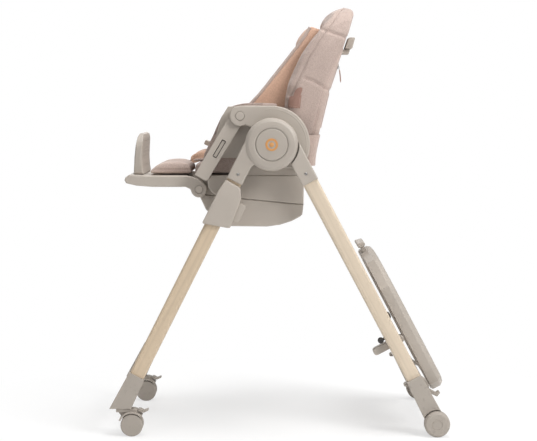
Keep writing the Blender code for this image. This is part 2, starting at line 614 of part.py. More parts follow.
def backrest():
    """Back shell on the recline pins, the padded cover round it, and the recline handle."""
    rear_of_shell = shifted(BACK_REAR[:-1] + [(0.1800, 1.0010)], -0.0080)
    shell = rear_of_shell + shifted(reversed(rear_of_shell), -0.0060)
    obj = make("backrest_shell", prism(shell, -0.140, 0.140), "taupe_plastic", "backrest")
    lug = arc(RECLINE_PIVOT, 0.018, 120, 300, 8) + [(0.0790, 0.6720), (0.0850, 0.7120),
                                                    (0.0700, 0.7120)]
    for _, side in SIDES:
        unite(obj, flip(prism(lug, 0.1380, 0.1750), side))
        cut(obj, flip(rod(RECLINE_PIVOT, PIN_R + GAP, 0.12, 0.18, 16), side))
    stem = [(0.1440, 0.9280), (0.1750, 0.9280), (0.1790, 0.9400), (0.1480, 0.9400)]
    unite(obj, prism(stem, -0.030, 0.030))
    handle = rounded([(0.1655, 0.9415), (0.1840, 0.9415), (0.1915, 0.9700), (0.1750, 0.9700)], 0.003,
                     2)
    make("recline_handle", prism(handle, -0.042, 0.042, edge=0.002), "taupe_plastic",
         "recline_handle")
    outer = BACK_FRONT + [(0.1875, 1.0300)] + list(reversed(BACK_REAR[1:]))
    cushion = make("backrest_cushion", prism(outer, -0.166, 0.166), "rose_fabric", "backrest")
    hollow = [(-0.05, 0.60), (0.0480, 0.7000), (0.0480, 0.7400), (0.0730, 0.8370), (0.1130, 0.9600),
              (0.1220, 0.9850), (0.1000, 1.0000), (-0.05, 1.0)]
    sleeve = shifted([(0.0805, 0.6400)] + rear_of_shell[:-1] + [(0.1723, 1.0018)], 0.0006)
    sleeve += shifted(reversed(sleeve), -0.0072)
    window = [(0.1400, 0.9265), (0.2000, 0.9265), (0.2000, 0.9415), (0.1400, 0.9415)]
    cut(cushion, prism(hollow, -0.1260, 0.1260), prism(sleeve, -0.1406, 0.1406),
        prism(window, -0.0315, 0.0315))
    combine(cushion, "INTERSECT", front_view(0.166, 0.960, 1.0475, 0.070, (-0.1, 0.3)))


def inlay_back():
    """Baby insert on the backrest: a back pad with two side wings."""
    pad = [(0.0470, 0.7100), (0.0470, 0.7410), (0.0720, 0.8370), (0.1120, 0.9600), (0.1160, 0.9800),
           (0.0900, 0.9900), (0.0780, 0.9600), (0.0450, 0.8500), (0.0240, 0.7500), (0.0260, 0.7120)]
    obj = make("inlay_back", prism(pad, -0.124, 0.124, edge=0.004), "peach_fabric", "backrest")
    wing = [(0.0450, 0.7420), (0.0700, 0.8380), (0.1100, 0.9600), (0.1080, 0.9880), (0.0760, 1.0000),
            (-0.0800, 0.8020), (-0.0900, 0.7700), (-0.0500, 0.7300)]
    for _, side in SIDES:
        unite(obj, flip(prism(wing, 0.1000, 0.1230), side))


# ---- soft parts on the seat ---------------------------------------------------------------------
def seat_cushion():
    """Seat cover: a pad on the pan and a wing inside each seat side."""
    pad = rounded([(-0.2120, SEAT_TOP + 0.0015), (0.0150, SEAT_TOP + 0.0015), (0.0150, 0.6600),
                   (-0.2120, 0.6600)], 0.010)
    obj = make("seat_cushion", prism(pad, -0.1505, 0.1505, edge=0.004), "rose_fabric", "seat")
    wing = [(-0.1880, SEAT_TOP + 0.0015), (0.0100, SEAT_TOP + 0.0015), (-0.0040, 0.7000),
            (-0.0040, 0.8060), (-0.0900, 0.8060), (-0.1200, 0.7980), (-0.1400, 0.7780),
            (-0.1920, 0.6650)]
    for _, side in SIDES:
        unite(obj, flip(prism(wing, 0.1480, 0.1788, edge=0.004), side))


def seat_pads():
    inlay = rounded([(-0.2220, 0.6640), (-0.0050, 0.6640), (-0.0050, 0.6820), (-0.1700, 0.6860),
                     (-0.2150, 0.6840)], 0.008)
    make("inlay_seat", prism(inlay, -0.1300, 0.1300, edge=0.004), "peach_fabric", "seat")
    pad = rounded([(-0.2980, LEG_REST_TOP + 0.0023), (-0.2220, LEG_REST_TOP + 0.0023),
                   (-0.2220, 0.6560), (-0.2760, 0.6600)], 0.008)
    make("leg_rest_pad", prism(pad, -0.1250, 0.1250, edge=0.003), "rose_fabric", "leg_rest")


def harness():
    """Five-point harness: shoulder straps on the backrest, crotch strap and buckle on the seat."""
    line = [(0.0440, 0.8500), (0.0770, 0.9590)]
    band = shifted(line, -0.0045) + shifted(reversed(line), -0.0015)
    straps = make("shoulder_straps", prism(band, -0.060, 0.060), "strap_webbing", "backrest")
    cut(straps, prism([(-0.1, 0.80), (0.2, 0.80), (0.2, 0.9450), (-0.1, 0.9450)], -0.030, 0.030))
    crotch = [(-0.1400, 0.6868), (-0.1360, 0.6868), (-0.1475, 0.6962), (-0.1495, 0.6950)]
    make("crotch_strap", prism(crotch, -0.014, 0.014), "strap_webbing", "seat")
    tilt = radians(68)
    centre = BUCKLE

    def at(u, v):
        return (centre[0] - u * sin(tilt) + v * cos(tilt), centre[1] + u * cos(tilt) + v * sin(tilt))

    shape = rounded([at(-0.018, -0.006), at(-0.018, 0.006), at(0.020, 0.006), at(0.020, -0.006)],
                    0.003, 2)
    buckle = make("harness_buckle", prism(shape, -0.024, 0.024, edge=0.0015), "taupe_plastic", "seat")
    hole = [at(-0.009, 0.0100), at(-0.009, 0.0010), at(0.009, 0.0010), at(0.009, 0.0100)]
    cut(buckle, prism(hole, -0.009, 0.009))
    press = [at(-0.0086, 0.0075), at(-0.0086, 0.0032), at(0.0086, 0.0032), at(0.0086, 0.0075)]
    make("buckle_button", prism(press, -0.0086, 0.0086, edge=0.0006), "dark_rubber", "buckle_button")


# ---- stored tray --------------------------------------------------------------------------------
def tray_ring(inset, w, lower=0.0):
    """The tray's plan outline at depth w behind the rear legs, as (x, y, z) points."""
    s0, s1 = TRAY_S[0] + inset, TRAY_S[1] - inset - lower
    half = TRAY_HALF - inset
    plan = []
    for i in range(9):
        a = pi * (1 - i / 8)
        plan.append((0.78 * half * cos(a), s0 + 0.030 * (1 - sin(a))))
    plan += [(half, s0 + 0.085), (half, s1 - 0.055), (half - 0.012, s1 - 0.018), (half - 0.040, s1)]
    plan += [(0.110, s1), (0.060, s1 - 0.022), (-0.060, s1 - 0.022), (-0.110, s1)]
    plan += [(-half + 0.040, s1), (-half + 0.012, s1 - 0.018), (-half, s1 - 0.055),
             (-half, s0 + 0.085)]
    return [(x, *rear(s, w)) for x, s in plan]


def tray():
    """Tray pan, its lift-out insert, and the release handle on two stems at its front edge."""
    w0, w1 = TRAY_W
    pan = loft([tray_ring(0.0, w0), tray_ring(0.0, w1 - 0.012), tray_ring(0.006, w1 - 0.003),
                tray_ring(0.014, w1)])
    obj = make("tray_base", pan, "taupe_plastic", "tray")
    cut(obj, loft([tray_ring(0.018, w0 - 0.02), tray_ring(0.018, w0 + 0.010),
                   tray_ring(0.026, w1 - 0.006), tray_ring(0.030, w1 - 0.0035)]))
    lip = loft([tray_ring(0.003, w0 - 0.0030), tray_ring(0.003, w0 - GAP)])
    insert = make("tray_insert", lip, "taupe_plastic", "tray")
    dish = loft([tray_ring(0.0195, w0 - 0.0015), tray_ring(0.0195, w0 + 0.010),
                 tray_ring(0.0275, w1 - 0.0075), tray_ring(0.0320, w1 - 0.0045)])
    unite(insert, dish)
    cut(insert, loft([tray_ring(0.0220, w0 - 0.02), tray_ring(0.0220, w0 + 0.010),
                      tray_ring(0.0300, w1 - 0.0105), tray_ring(0.0350, w1 - 0.0070)]))
    grip = rounded([rear(0.326, 0.0700), rear(0.3395, 0.0700), rear(0.3395, 0.0900),
                    rear(0.330, 0.0900)], 0.004, 2)
    handle = make("tray_handle", prism(grip, -0.060, 0.060, edge=0.002), "wheel_plastic",
                  "tray_handle")
    for _, side in SIDES:
        stem = [rear(0.3385, 0.0750), rear(0.3660, 0.0750), rear(0.3660, 0.0850),
                rear(0.3385, 0.0850)]
        pocket = [rear(0.3400, 0.0750 - GAP), rear(0.3675, 0.0750 - GAP),
                  rear(0.3675, 0.0850 + GAP), rear(0.3400, 0.0850 + GAP)]
        unite(handle, flip(prism(stem, 0.034, 0.046), side))
        cut(obj, flip(prism(pocket, 0.034 - GAP, 0.046 + GAP), side))


# ---- assembly -----------------------------------------------------------------------------------
def bodies():
    def on_axis(point):
        return (0.0, *point)

    body("rear_frame", "frame", on_axis(HUB))
    body("seat", "frame", on_axis(front(0.18, -LEG_OFFSET)))
    body("backrest", "seat", on_axis(RECLINE_PIVOT))
    body("recline_handle", "backrest", on_axis((0.178, 0.955)))
    body("leg_rest", "seat", on_axis(LEG_REST_PIVOT))
    body("footplate", "leg_rest", on_axis((FOOTPLATE_Y[0], LEG_REST_TOP)))
    body("buckle_button", "seat", on_axis(BUCKLE))
    body("tray", "rear_frame", on_axis(rear(TRAY_S[0], TRAY_W[0])))
    body("tray_handle", "tray", on_axis(rear(0.33, 0.08)))
    for label, side in SIDES:
        body(f"fold_button_{label}", "frame", (side * 0.2680, *HUB))
        body(f"rear_wheel_{label}", "rear_frame", (side * LEG_X, *REAR_WHEEL))
        body(f"caster_{label}", "frame", (side * LEG_X, CASTER_STEM_Y, FOOT_SOLE))
        body(f"caster_wheels_{label}", f"caster_{label}", (side * LEG_X, *CASTER_AXLE))
        body(f"brake_{label}", f"caster_{label}", (side * LEG_X, -0.3400, 0.0628))
        body(f"height_lever_{label}", "seat", (side * LEG_X, *front(0.1825, 0.0)))
        body(f"armrest_{label}", "seat", (side * 0.1975, *ARM_PIVOT))
        body(f"armrest_button_{label}", "seat", (side * 0.2205, *ARM_PIVOT))
        body(f"leg_rest_button_{label}", "leg_rest", (side * 0.1700, *LEG_REST_PIVOT))


def build():
    clear_scene()
    bodies()
    for label, side in SIDES:
        hub_ring(label, side)
        rear_bracket(label, side)
        wooden_legs(label, side)
        front_foot(label, side)
        rear_foot(label, side)
        rear_wheel(label, side)
        caster(label, side)
        seat_side(label, side)
        slider(label, side)
        armrest(label, side)
    crossbars()
    seat_base()
    seat_bottom_cover()
    pivot_rods()
    leg_rest()
    footplate()
    backrest()
    inlay_back()
    seat_cushion()
    seat_pads()
    harness()
    tray()


build()
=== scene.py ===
"""Baby high chair: materials, padded covers, harness, trim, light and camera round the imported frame.

Metres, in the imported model's own frame: the child faces -Y, +X is the child's left, +Z is up.
"""
import json

from math import atan2, cos, hypot, pi, radians, sin

import bmesh
import bpy
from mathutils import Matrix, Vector
from mathutils.bvhtree import BVHTree


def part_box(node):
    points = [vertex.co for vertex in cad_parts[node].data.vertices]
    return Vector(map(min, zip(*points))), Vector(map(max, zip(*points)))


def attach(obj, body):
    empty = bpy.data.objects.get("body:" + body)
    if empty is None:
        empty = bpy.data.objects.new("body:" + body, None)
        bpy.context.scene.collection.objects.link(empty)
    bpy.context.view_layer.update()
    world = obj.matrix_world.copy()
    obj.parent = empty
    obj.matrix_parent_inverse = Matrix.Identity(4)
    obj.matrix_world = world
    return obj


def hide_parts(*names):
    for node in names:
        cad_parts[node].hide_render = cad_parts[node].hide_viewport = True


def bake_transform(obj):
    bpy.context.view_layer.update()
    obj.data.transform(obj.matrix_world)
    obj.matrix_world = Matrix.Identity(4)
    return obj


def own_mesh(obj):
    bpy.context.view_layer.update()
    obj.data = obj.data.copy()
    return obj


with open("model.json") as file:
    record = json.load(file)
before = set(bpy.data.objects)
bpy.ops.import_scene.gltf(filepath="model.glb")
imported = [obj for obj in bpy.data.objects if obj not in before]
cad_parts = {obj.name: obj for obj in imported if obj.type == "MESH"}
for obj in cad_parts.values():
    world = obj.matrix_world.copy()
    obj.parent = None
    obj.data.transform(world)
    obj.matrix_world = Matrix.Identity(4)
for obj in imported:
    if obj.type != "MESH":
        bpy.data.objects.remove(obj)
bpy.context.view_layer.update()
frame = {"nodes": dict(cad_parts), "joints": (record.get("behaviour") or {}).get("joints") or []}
NODES = frame["nodes"]
JOINTS = {joint["name"]: joint for joint in frame["joints"]}
SIDES = (("left", 1), ("right", -1))
SCENE = bpy.context.scene


# ---- places read from the frame
def pivot(joint):
    return Vector(JOINTS[joint]["pos_m"])


def in_side(node, *pairs):
    """(y, z) points from fractions of a node's box."""
    low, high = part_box(node)
    return [(low[1] + u * (high[1] - low[1]), low[2] + v * (high[2] - low[2])) for u, v in pairs]


HUB = pivot("frame_fold")
FRONT_LEAN = atan2(-JOINTS["seat_height"]["axis"][1], -JOINTS["seat_height"]["axis"][2])
REAR_OUT = Vector(JOINTS["tray_pull_off"]["axis"])  # straight out from the rear legs
REAR_DOWN = Vector((0, REAR_OUT.z, -REAR_OUT.y))
BACK_UP = Vector(JOINTS["recline_release"]["axis"])  # up the backrest
BACK_FRONT = Vector((0, -BACK_UP.z, BACK_UP.y))
UP = Vector((0, 0, 1))
ARM_LEAN = radians(30.9)  # of the lowered armrest, from upright


# ---- materials
class Paint:
    """A Principled material with its node tree; add() makes a node and links or sets its inputs."""

    def __init__(self, name, roughness, metallic=0.0):
        self.material = bpy.data.materials.new(name)
        self.material.use_nodes = True
        self.tree = self.material.node_tree
        self.shader = self.tree.nodes["Principled BSDF"]
        self.shader.inputs["Roughness"].default_value = roughness
        self.shader.inputs["Metallic"].default_value = metallic
        self.place = self.add("ShaderNodeTexCoord").outputs["Object"]

    def add(self, kind, inputs=None, **settings):
        node = self.tree.nodes.new(kind)
        for key, value in settings.items():
            setattr(node, key, value)
        for key, value in (inputs or {}).items():
            self.put(node.inputs[key], value)
        return node

    def put(self, socket, value):
        if isinstance(value, bpy.types.NodeSocket):
            self.tree.links.new(value, socket)
        else:
            socket.default_value = value

    def noise(self, scale, detail=3.0, place=None, roughness=0.5):
        inputs = {"Vector": place or self.place, "Scale": scale, "Detail": detail,
                  "Roughness": roughness}
        return self.add("ShaderNodeTexNoise", inputs).outputs["Fac"]

    def scaled(self, scale=(1, 1, 1), turn=(0, 0, 0)):
        turned = self.add("ShaderNodeMapping", {"Vector": self.place, "Rotation": turn}).outputs[0]
        return self.add("ShaderNodeMapping", {"Vector": turned, "Scale": scale}).outputs[0]

    def ramp(self, factor, *stops, ease="LINEAR"):
        node = self.add("ShaderNodeValToRGB", {"Fac": factor})
        ramp = node.color_ramp
        ramp.interpolation = ease
        while len(ramp.elements) < len(stops):
            ramp.elements.new(0.5)
        for element, (position, colour) in zip(ramp.elements, stops):
            element.position = position
            element.color = (*colour, 1.0) if len(colour) == 3 else colour
        return node.outputs["Color"]

    def mix(self, factor, a, b, blend="MIX"):
        node = self.add("ShaderNodeMix", data_type="RGBA", blend_type=blend)
        self.put(node.inputs[0], factor)
        for socket, value in ((node.inputs[6], a), (node.inputs[7], b)):
            self.put(socket, (*value, 1.0) if isinstance(value, tuple) and len(value) == 3 else value)
        return node.outputs[2]

    def maths(self, operation, *values):
        node = self.add("ShaderNodeMath", operation=operation)
        for socket, value in zip(node.inputs, values):
            self.put(socket, value)
        return node.outputs[0]

    def spread(self, value, low, high, start=0.0, end=1.0):
        inputs = {"Value": value, "From Min": start, "From Max": end, "To Min": low, "To Max": high}
        return self.add("ShaderNodeMapRange", inputs).outputs[0]

    def colour(self, value):
        self.put(self.shader.inputs["Base Color"], value)

    def bump(self, height, distance, strength=1.0):
        under = self.shader.inputs["Normal"]
        inputs = {"Height": height, "Distance": distance, "Strength": strength}
        if under.is_linked:
            inputs["Normal"] = under.links[0].from_socket
        self.put(under, self.add("ShaderNodeBump", inputs).outputs["Normal"])


def toned(colour, factor):
    return tuple(min(1.0, c * factor) for c in colour)


def plastic(name, colour, roughness=0.48, grain=0.00006, scuffs=False):
    """Moulded plastic: spark-eroded grain, faint flow marks and, low down, rubbed scuffs."""
    paint = Paint(name, roughness)
    flow = paint.noise(7.0, 4.0)
    tint = paint.ramp(flow, (0.3, toned(colour, 0.95)), (0.7, toned(colour, 1.04)))
    if scuffs:
        patches = paint.ramp(paint.noise(95.0, 6.0), (0.60, (0, 0, 0)), (0.72, (1, 1, 1)))
        worn = paint.maths("MULTIPLY", patches, 0.35)
        tint = paint.mix(worn, tint, toned(colour, 0.62))
    paint.colour(tint)
    gloss = paint.spread(paint.noise(38.0, 5.0), roughness - 0.07, roughness + 0.09)
    paint.put(paint.shader.inputs["Roughness"], gloss)
    paint.bump(paint.noise(1500.0, 2.0), grain)
    return paint.material


def wood(name, lean, pale, dark):
    """Ash with its grain along a leg that leans by lean: drawn-out growth bands, fibres and pores."""
    paint = Paint(name, 0.5)
    along = paint.scaled((1, 1, 0.045), (lean, 0, 0))
    drift = paint.noise(30.0, 3.0, along)
    bands = paint.add("ShaderNodeTexWave", {"Vector": along, "Scale": 21.0, "Distortion": 9.0,
                                           "Detail": 3.0, "Detail Scale": 1.8}, bands_direction="Y")
    band = paint.maths("MULTIPLY_ADD", bands.outputs["Fac"], 0.4, paint.maths("MULTIPLY", drift, 0.6))
    tint = paint.ramp(band, (0.2, pale), (0.6, toned(pale, 0.965)), (0.85, dark))
    fine = paint.scaled((1, 1, 0.012), (lean, 0, 0))
    fibre = paint.noise(560.0, 3.0, fine)
    tint = paint.mix(paint.spread(fibre, 0.0, 0.22, 0.42, 0.75), tint, dark)
    pores = paint.ramp(paint.noise(900.0, 1.0, fine), (0.67, (0, 0, 0)), (0.74, (1, 1, 1)))
    paint.colour(paint.mix(paint.maths("MULTIPLY", pores, 0.22), tint, toned(dark, 0.7)))
    paint.put(paint.shader.inputs["Roughness"], paint.spread(fibre, 0.42, 0.56))
    paint.shader.inputs["Coat Weight"].default_value = 0.12
    paint.shader.inputs["Coat Roughness"].default_value = 0.35
    paint.bump(paint.maths("SUBTRACT", fibre, pores), 0.0001, 0.5)
    return paint.material


def fabric(name, colour, contrast=0.16, thread=0.0012, weave=0.00035, sheen=0.3):
    """Melange jersey: two yarn tones, rows of small stitches, soft creases and a short pile's sheen."""
    paint = Paint(name, 0.88)
    cells = paint.add("ShaderNodeTexVoronoi", {"Vector": paint.scaled((1.0, 1.0, 0.62)),
                                              "Scale": 1.0 / thread}, feature="F1")
    yarn = paint.noise(0.75 / thread, 2.0)
    tint = paint.ramp(yarn, (0.36, toned(colour, 1 - contrast)), (0.62, toned(colour, 1 + contrast * 0.6)))
    cloud = paint.noise(11.0, 4.0)
    tint = paint.mix(paint.spread(cloud, 0.0, 0.35, 0.4, 0.75), tint, toned(colour, 0.88))
    shade = paint.spread(cells.outputs["Distance"], 1.06, 0.80, 0.0, 0.7)
    paint.colour(paint.mix(1.0, tint, paint.add("ShaderNodeCombineColor", {
        "Red": shade, "Green": shade, "Blue": shade}).outputs[0], "MULTIPLY"))
    paint.shader.inputs["Sheen Weight"].default_value = sheen
    paint.shader.inputs["Sheen Roughness"].default_value = 0.45
    paint.shader.inputs["Specular IOR Level"].default_value = 0.25
    paint.bump(paint.noise(34.0, 5.0), 0.0016, 0.35)
    paint.bump(paint.maths("SUBTRACT", 1.0, cells.outputs["Distance"]), weave, 0.8)
    return paint.material


def webbing(name, colour, across="X"):
    """Woven tape: ribs across its length over fine lengthwise threads."""
    paint = Paint(name, 0.8)
    ribs = paint.add("ShaderNodeTexWave", {"Vector": paint.place, "Scale": 190.0, "Distortion": 0.6},
                     bands_direction="Z").outputs["Fac"]
    threads = paint.add("ShaderNodeTexWave", {"Vector": paint.place, "Scale": 320.0,
                                             "Distortion": 0.8}, bands_direction=across).outputs["Fac"]
    weave = paint.maths("MULTIPLY", ribs, threads)
    paint.colour(paint.ramp(weave, (0.0, toned(colour, 0.72)), (0.6, colour), (1.0, toned(colour, 1.12))))
    paint.shader.inputs["Sheen Weight"].default_value = 0.2
    paint.bump(weave, 0.0004, 0.8)
    return paint.material


def leather(name, colour):
    """Soft synthetic leather: a pebbled grain with darker creases."""
    paint = Paint(name, 0.55)
    cells = paint.add("ShaderNodeTexVoronoi", {"Vector": paint.place, "Scale": 700.0},
                      feature="DISTANCE_TO_EDGE").outputs["Distance"]
    crease = paint.spread(cells, 0.0, 1.0, 0.0, 0.12)
    paint.colour(paint.mix(crease, toned(colour, 0.7), paint.ramp(
        paint.noise(60.0, 4.0), (0.3, toned(colour, 0.93)), (0.7, toned(colour, 1.06)))))
    paint.bump(crease, 0.0002, 0.6)
    return paint.material


def steel(name, colour):
    """Zinc-plated steel with a drawn finish and faint spots."""
    paint = Paint(name, 0.32, 1.0)
    drawn = paint.noise(260.0, 4.0, paint.scaled((0.04, 1, 1)))
    paint.colour(paint.ramp(drawn, (0.3, toned(colour, 0.85)), (0.7, toned(colour, 1.05))))
    paint.put(paint.shader.inputs["Roughness"], paint.spread(drawn, 0.24, 0.42))
    return paint.material


TAUPE = (0.440, 0.392, 0.342)
ROSE = (0.545, 0.432, 0.382)
PEACH = (0.690, 0.445, 0.325)
ASH = (0.615, 0.490, 0.350)
ASH_PALE = (0.655, 0.550, 0.425)
LOOKS = {
    "shell": plastic("taupe_shell", TAUPE),
    "hub": plastic("taupe_hub", toned(TAUPE, 0.93), 0.42),
    "foot": plastic("taupe_foot", toned(TAUPE, 0.88), 0.5, scuffs=True),
    "wheel": plastic("wheel_tread", toned(TAUPE, 0.84), 0.55, 0.0001, scuffs=True),
    "tray": plastic("tray_shell", toned(TAUPE, 0.96), 0.44),
    "front_wood": wood("ash_front", FRONT_LEAN, ASH, toned(ASH, 0.86)),
    "rear_wood": wood("ash_rear", -atan2(REAR_DOWN.y, -REAR_DOWN.z), ASH_PALE, toned(ASH_PALE, 0.87)),
    "rose": fabric("rose_melange", ROSE),
    "rose_pale": fabric("rose_pale_melange", toned(ROSE, 1.12)),
    # the rose fabric darkened to 0.80: painted shade on the seat's cover and the fold bridge, which sit
    # low between the sides
    "rose_deep": fabric("rose_painted_shade_melange", toned(ROSE, 0.80)),
    "peach": fabric("peach_jersey", PEACH, 0.12, 0.001),
    "piping": fabric("rose_grey_piping", toned(ROSE, 0.86), 0.1, 0.0009),
    "insert_piping": fabric("pale_rose_piping", toned(ROSE, 1.0), 0.1, 0.0009),
    "tab": leather("rose_brown_tab", (0.355, 0.205, 0.162)),
    "webbing": webbing("beige_webbing", (0.50, 0.43, 0.35)),
    "thread": plastic("sewing_thread", toned(ROSE, 1.25), 0.7, 0.00002),
    "steel": steel("plated_steel", (0.62, 0.61, 0.60)),
    # dark plastic for the buckle button, and painted recess shade on the leg screws
    "dark": plastic("dark_button_and_recess_shade", (0.075, 0.066, 0.058), 0.5),
    # grey rubber for the rack stop, and painted slot shade in the armrests' latch pockets
    "rubber": plastic("grey_rubber_and_slot_shade", (0.045, 0.041, 0.038), 0.7, 0.0001),
    "emblem": plastic("amber_inlay", (0.62, 0.30, 0.10), 0.35),
}


def dress(look, *nodes):
    """Gives CAD nodes a material."""
    for name in nodes:
        obj = NODES[name]
        obj.data.materials.clear()
        obj.data.materials.append(LOOKS[look])


def both(name):
    return [f"{name}_{label}" for label, _ in SIDES]


def soften(width, *nodes, segments=2, angle=38):
    """Rounded edges on CAD nodes, as every moulded or sawn edge has."""
    for name in nodes:
        obj = NODES[name]
        weld = obj.modifiers.new("weld", "WELD")
        weld.merge_threshold = 0.00001
        flat = obj.modifiers.new("join_flats", "DECIMATE")
        flat.decimate_type = "DISSOLVE"
        flat.angle_limit = radians(0.5)
        edge = obj.modifiers.new("soft_edges", "BEVEL")
        edge.width = width
        edge.segments = segments
        edge.limit_method = "ANGLE"
        edge.angle_limit = radians(angle)
        edge.harden_normals = True


# ---- mesh helpers
def piece(name, mesh, body, look):
    """A new visible piece in the row frame, riding on a body."""
    obj = bpy.data.objects.new(name, mesh)
    SCENE.collection.objects.link(obj)
    looks = look if isinstance(look, (list, tuple)) else [look]
    for one in looks:
        mesh.materials.append(LOOKS[one])
    if body:
        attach(obj, body)
    return obj


def raw_mesh(bm, name):
    mesh = bpy.data.meshes.new(name)
    bm.to_mesh(mesh)
    bm.free()
    return mesh


def mesh_of(bm, name, smooth=35):
    bmesh.ops.recalc_face_normals(bm, faces=bm.faces)
    mesh = raw_mesh(bm, name)
    mesh.shade_smooth()
    mesh.set_sharp_from_angle(angle=radians(smooth))
    return mesh


def evaluated(obj):
    """A copy of an object's mesh with its modifiers applied."""
    SCENE.view_layers[0].update()
    graph = bpy.context.evaluated_depsgraph_get()
    return bpy.data.meshes.new_from_object(obj.evaluated_get(graph), depsgraph=graph)


def shape_of(*objects):
    """A BVH tree over several objects, modifiers included."""
    points, faces = [], []
    for obj in objects:
        mesh = evaluated(obj)
        start = len(points)
        points += [v.co.copy() for v in mesh.vertices]
        faces += [[start + i for i in p.vertices] for p in mesh.polygons]
        bpy.data.meshes.remove(mesh)
    return BVHTree.FromPolygons(points, faces)


def smoothed(points, rounds=2):
    """Corner-cut points, which round a path off."""
    for _ in range(rounds):
        out = [points[0]]
        for a, b in zip(points, points[1:]):
            out += [a.lerp(b, 0.25), a.lerp(b, 0.75)]
        points = out + [points[-1]]
    return points


def spaced(points, step):
    """Points along a path, an even step apart."""
    out, left = [points[0].copy()], step
    for a, b in zip(points, points[1:]):
        length = (b - a).length
        while length >= left > 0:
            a = a.lerp(b, left / length)
            length -= left
            out.append(a.copy())
            left = step
        left -= length
    return out


def tube(bm, points, radius, sides=8, closed=False):
    """A round tube along points, added to a bmesh."""
    rows, normal = [], None
    count = len(points)
    for i, point in enumerate(points):
        ahead = points[(i + 1) % count] if closed or i + 1 < count else point
        behind = points[i - 1] if closed or i else point
        tangent = (ahead - behind).normalized()
        if normal is None:
            normal = tangent.orthogonal().normalized()
        normal = (normal - tangent * normal.dot(tangent)).normalized()
        side = tangent.cross(normal)
        row = [bm.verts.new(point + radius * (normal * cos(2 * pi * k / sides) +
                                              side * sin(2 * pi * k / sides))) for k in range(sides)]
        rows.append(row)
    pairs = list(zip(rows, rows[1:])) + ([(rows[-1], rows[0])] if closed else [])
    for a, b in pairs:
        for k in range(sides):
            bm.faces.new((a[k], a[(k + 1) % sides], b[(k + 1) % sides], b[k]))
    if not closed:
        bm.faces.new(rows[0][::-1])
        bm.faces.new(rows[-1])


SECTION = ((-1, 0), (-0.95, 0.5), (-0.7, 0.55), (-0.35, 0.5), (0, 0.5), (0.35, 0.5), (0.7, 0.55),
           (0.95, 0.5), (1, 0), (0.95, -0.5), (0.7, -0.5), (0, -0.5), (-0.7, -0.5), (-0.95, -0.5))


def ribbon(bm, points, ups, width, thick, ends=0.0):
    """A flat strap along points; ups are its outward normals, ends how far it thins at each end."""
    rows = []
    last = len(points) - 1
    for i, point in enumerate(points):
        tangent = (points[min(i + 1, last)] - points[max(i - 1, 0)]).normalized()
        across = tangent.cross(ups[i]).normalized()
        out = across.cross(tangent).normalized()
        near = min(i, last - i) / last * 2
        full = 1.0 if near >= ends or not ends else (1 - (1 - near / ends) ** 2) ** 0.5
        section = []
        for u, v in SECTION:
            wide = u * width / 2 * (0.55 + 0.45 * full)
            section.append(bm.verts.new(point + across * wide + out * v * thick * max(full, 0.08)))
        rows.append(section)
    size = len(rows[0])
    for a, b in zip(rows, rows[1:]):
        for k in range(size):
            bm.faces.new((a[k], a[(k + 1) % size], b[(k + 1) % size], b[k]))
    bm.faces.new(rows[0][::-1])
    bm.faces.new(rows[-1])


def stitches(bm, points, normals, length=0.0030, gap=0.0016, radius=0.0003):
    """A row of small sewn stitches along a path, each a low arch."""
    i = 0
    while i < len(points) - 1:
        j = i
        while j < len(points) - 1 and (points[j] - points[i]).length < length:
            j += 1
        if (points[j] - points[i]).length >= length * 0.8:
            middle = (points[i] + points[j]) / 2 + normals[i] * radius * 1.8
            tube(bm, [points[i] - normals[i] * radius, middle, points[j] - normals[j] * radius],
                 radius, 5)
        i = j
        while i < len(points) - 1 and (points[i] - points[j]).length < gap:
            i += 1


def block(bm, centre, axes, sizes):
    """A box with its middle at centre, along three axes."""
    corners = []
    for k in (-0.5, 0.5):
        for u, v in ((-0.5, -0.5), (0.5, -0.5), (0.5, 0.5), (-0.5, 0.5)):
            corners.append(bm.verts.new(centre + axes[0] * sizes[0] * u + axes[1] * sizes[1] * v +
                                        axes[2] * sizes[2] * k))
    for quad in ((3, 2, 1, 0), (4, 5, 6, 7), (0, 1, 5, 4), (1, 2, 6, 5), (2, 3, 7, 6), (3, 0, 4, 7)):
        bm.faces.new([corners[i] for i in quad])


def prism(bm, outline, half):
    """A side outline of (y, z), extruded half to each side."""
    sides = [[bm.verts.new((x, y, z)) for y, z in outline] for x in (-half, half)]
    for i in range(len(outline)):
        j = (i + 1) % len(outline)
        bm.faces.new((sides[0][i], sides[0][j], sides[1][j], sides[1][i]))
    bm.faces.new(sides[0][::-1])
    bm.faces.new(sides[1])


def turned(bm, centre, profile, steps=32, sign=1):
    """A profile of (along X, radius) turned about an axis through centre."""
    rows = []
    for along, radius in profile:
        count = steps if radius > 1e-6 else 1
        rows.append([bm.verts.new(centre + Vector((sign * along, radius * cos(2 * pi * i / steps),
                                                   radius * sin(2 * pi * i / steps))))
                     for i in range(count)])
    for a, b in zip(rows, rows[1:]):
        for i in range(steps):
            j = (i + 1) % steps
            quad = dict.fromkeys((a[i % len(a)], a[j % len(a)], b[j % len(b)], b[i % len(b)]))
            bm.faces.new(quad)


def snapped(tree, points, reach=0.05):
    """Points moved to the nearest place on a surface, with the surface's normals there."""
    out, normals = [], []
    for point in points:
        found, normal, _, _ = tree.find_nearest(point, reach)
        if found is not None:
            out.append(found)
            normals.append(normal)
    return out, normals


def cast(tree, starts, direction):
    """Where rays from several points meet a surface, with its normals there."""
    out, normals = [], []
    for start in starts:
        found, normal, _, _ = tree.ray_cast(start, direction)
        if found is not None:
            out.append(found)
            normals.append(normal)
    return out, normals


def eased(points, rounds=3):
    """A path with its small wobbles averaged out."""
    for _ in range(rounds):
        points = [points[0]] + [(a + b * 2 + c) / 4 for a, b, c in
                                zip(points, points[1:], points[2:])] + [points[-1]]
    return points


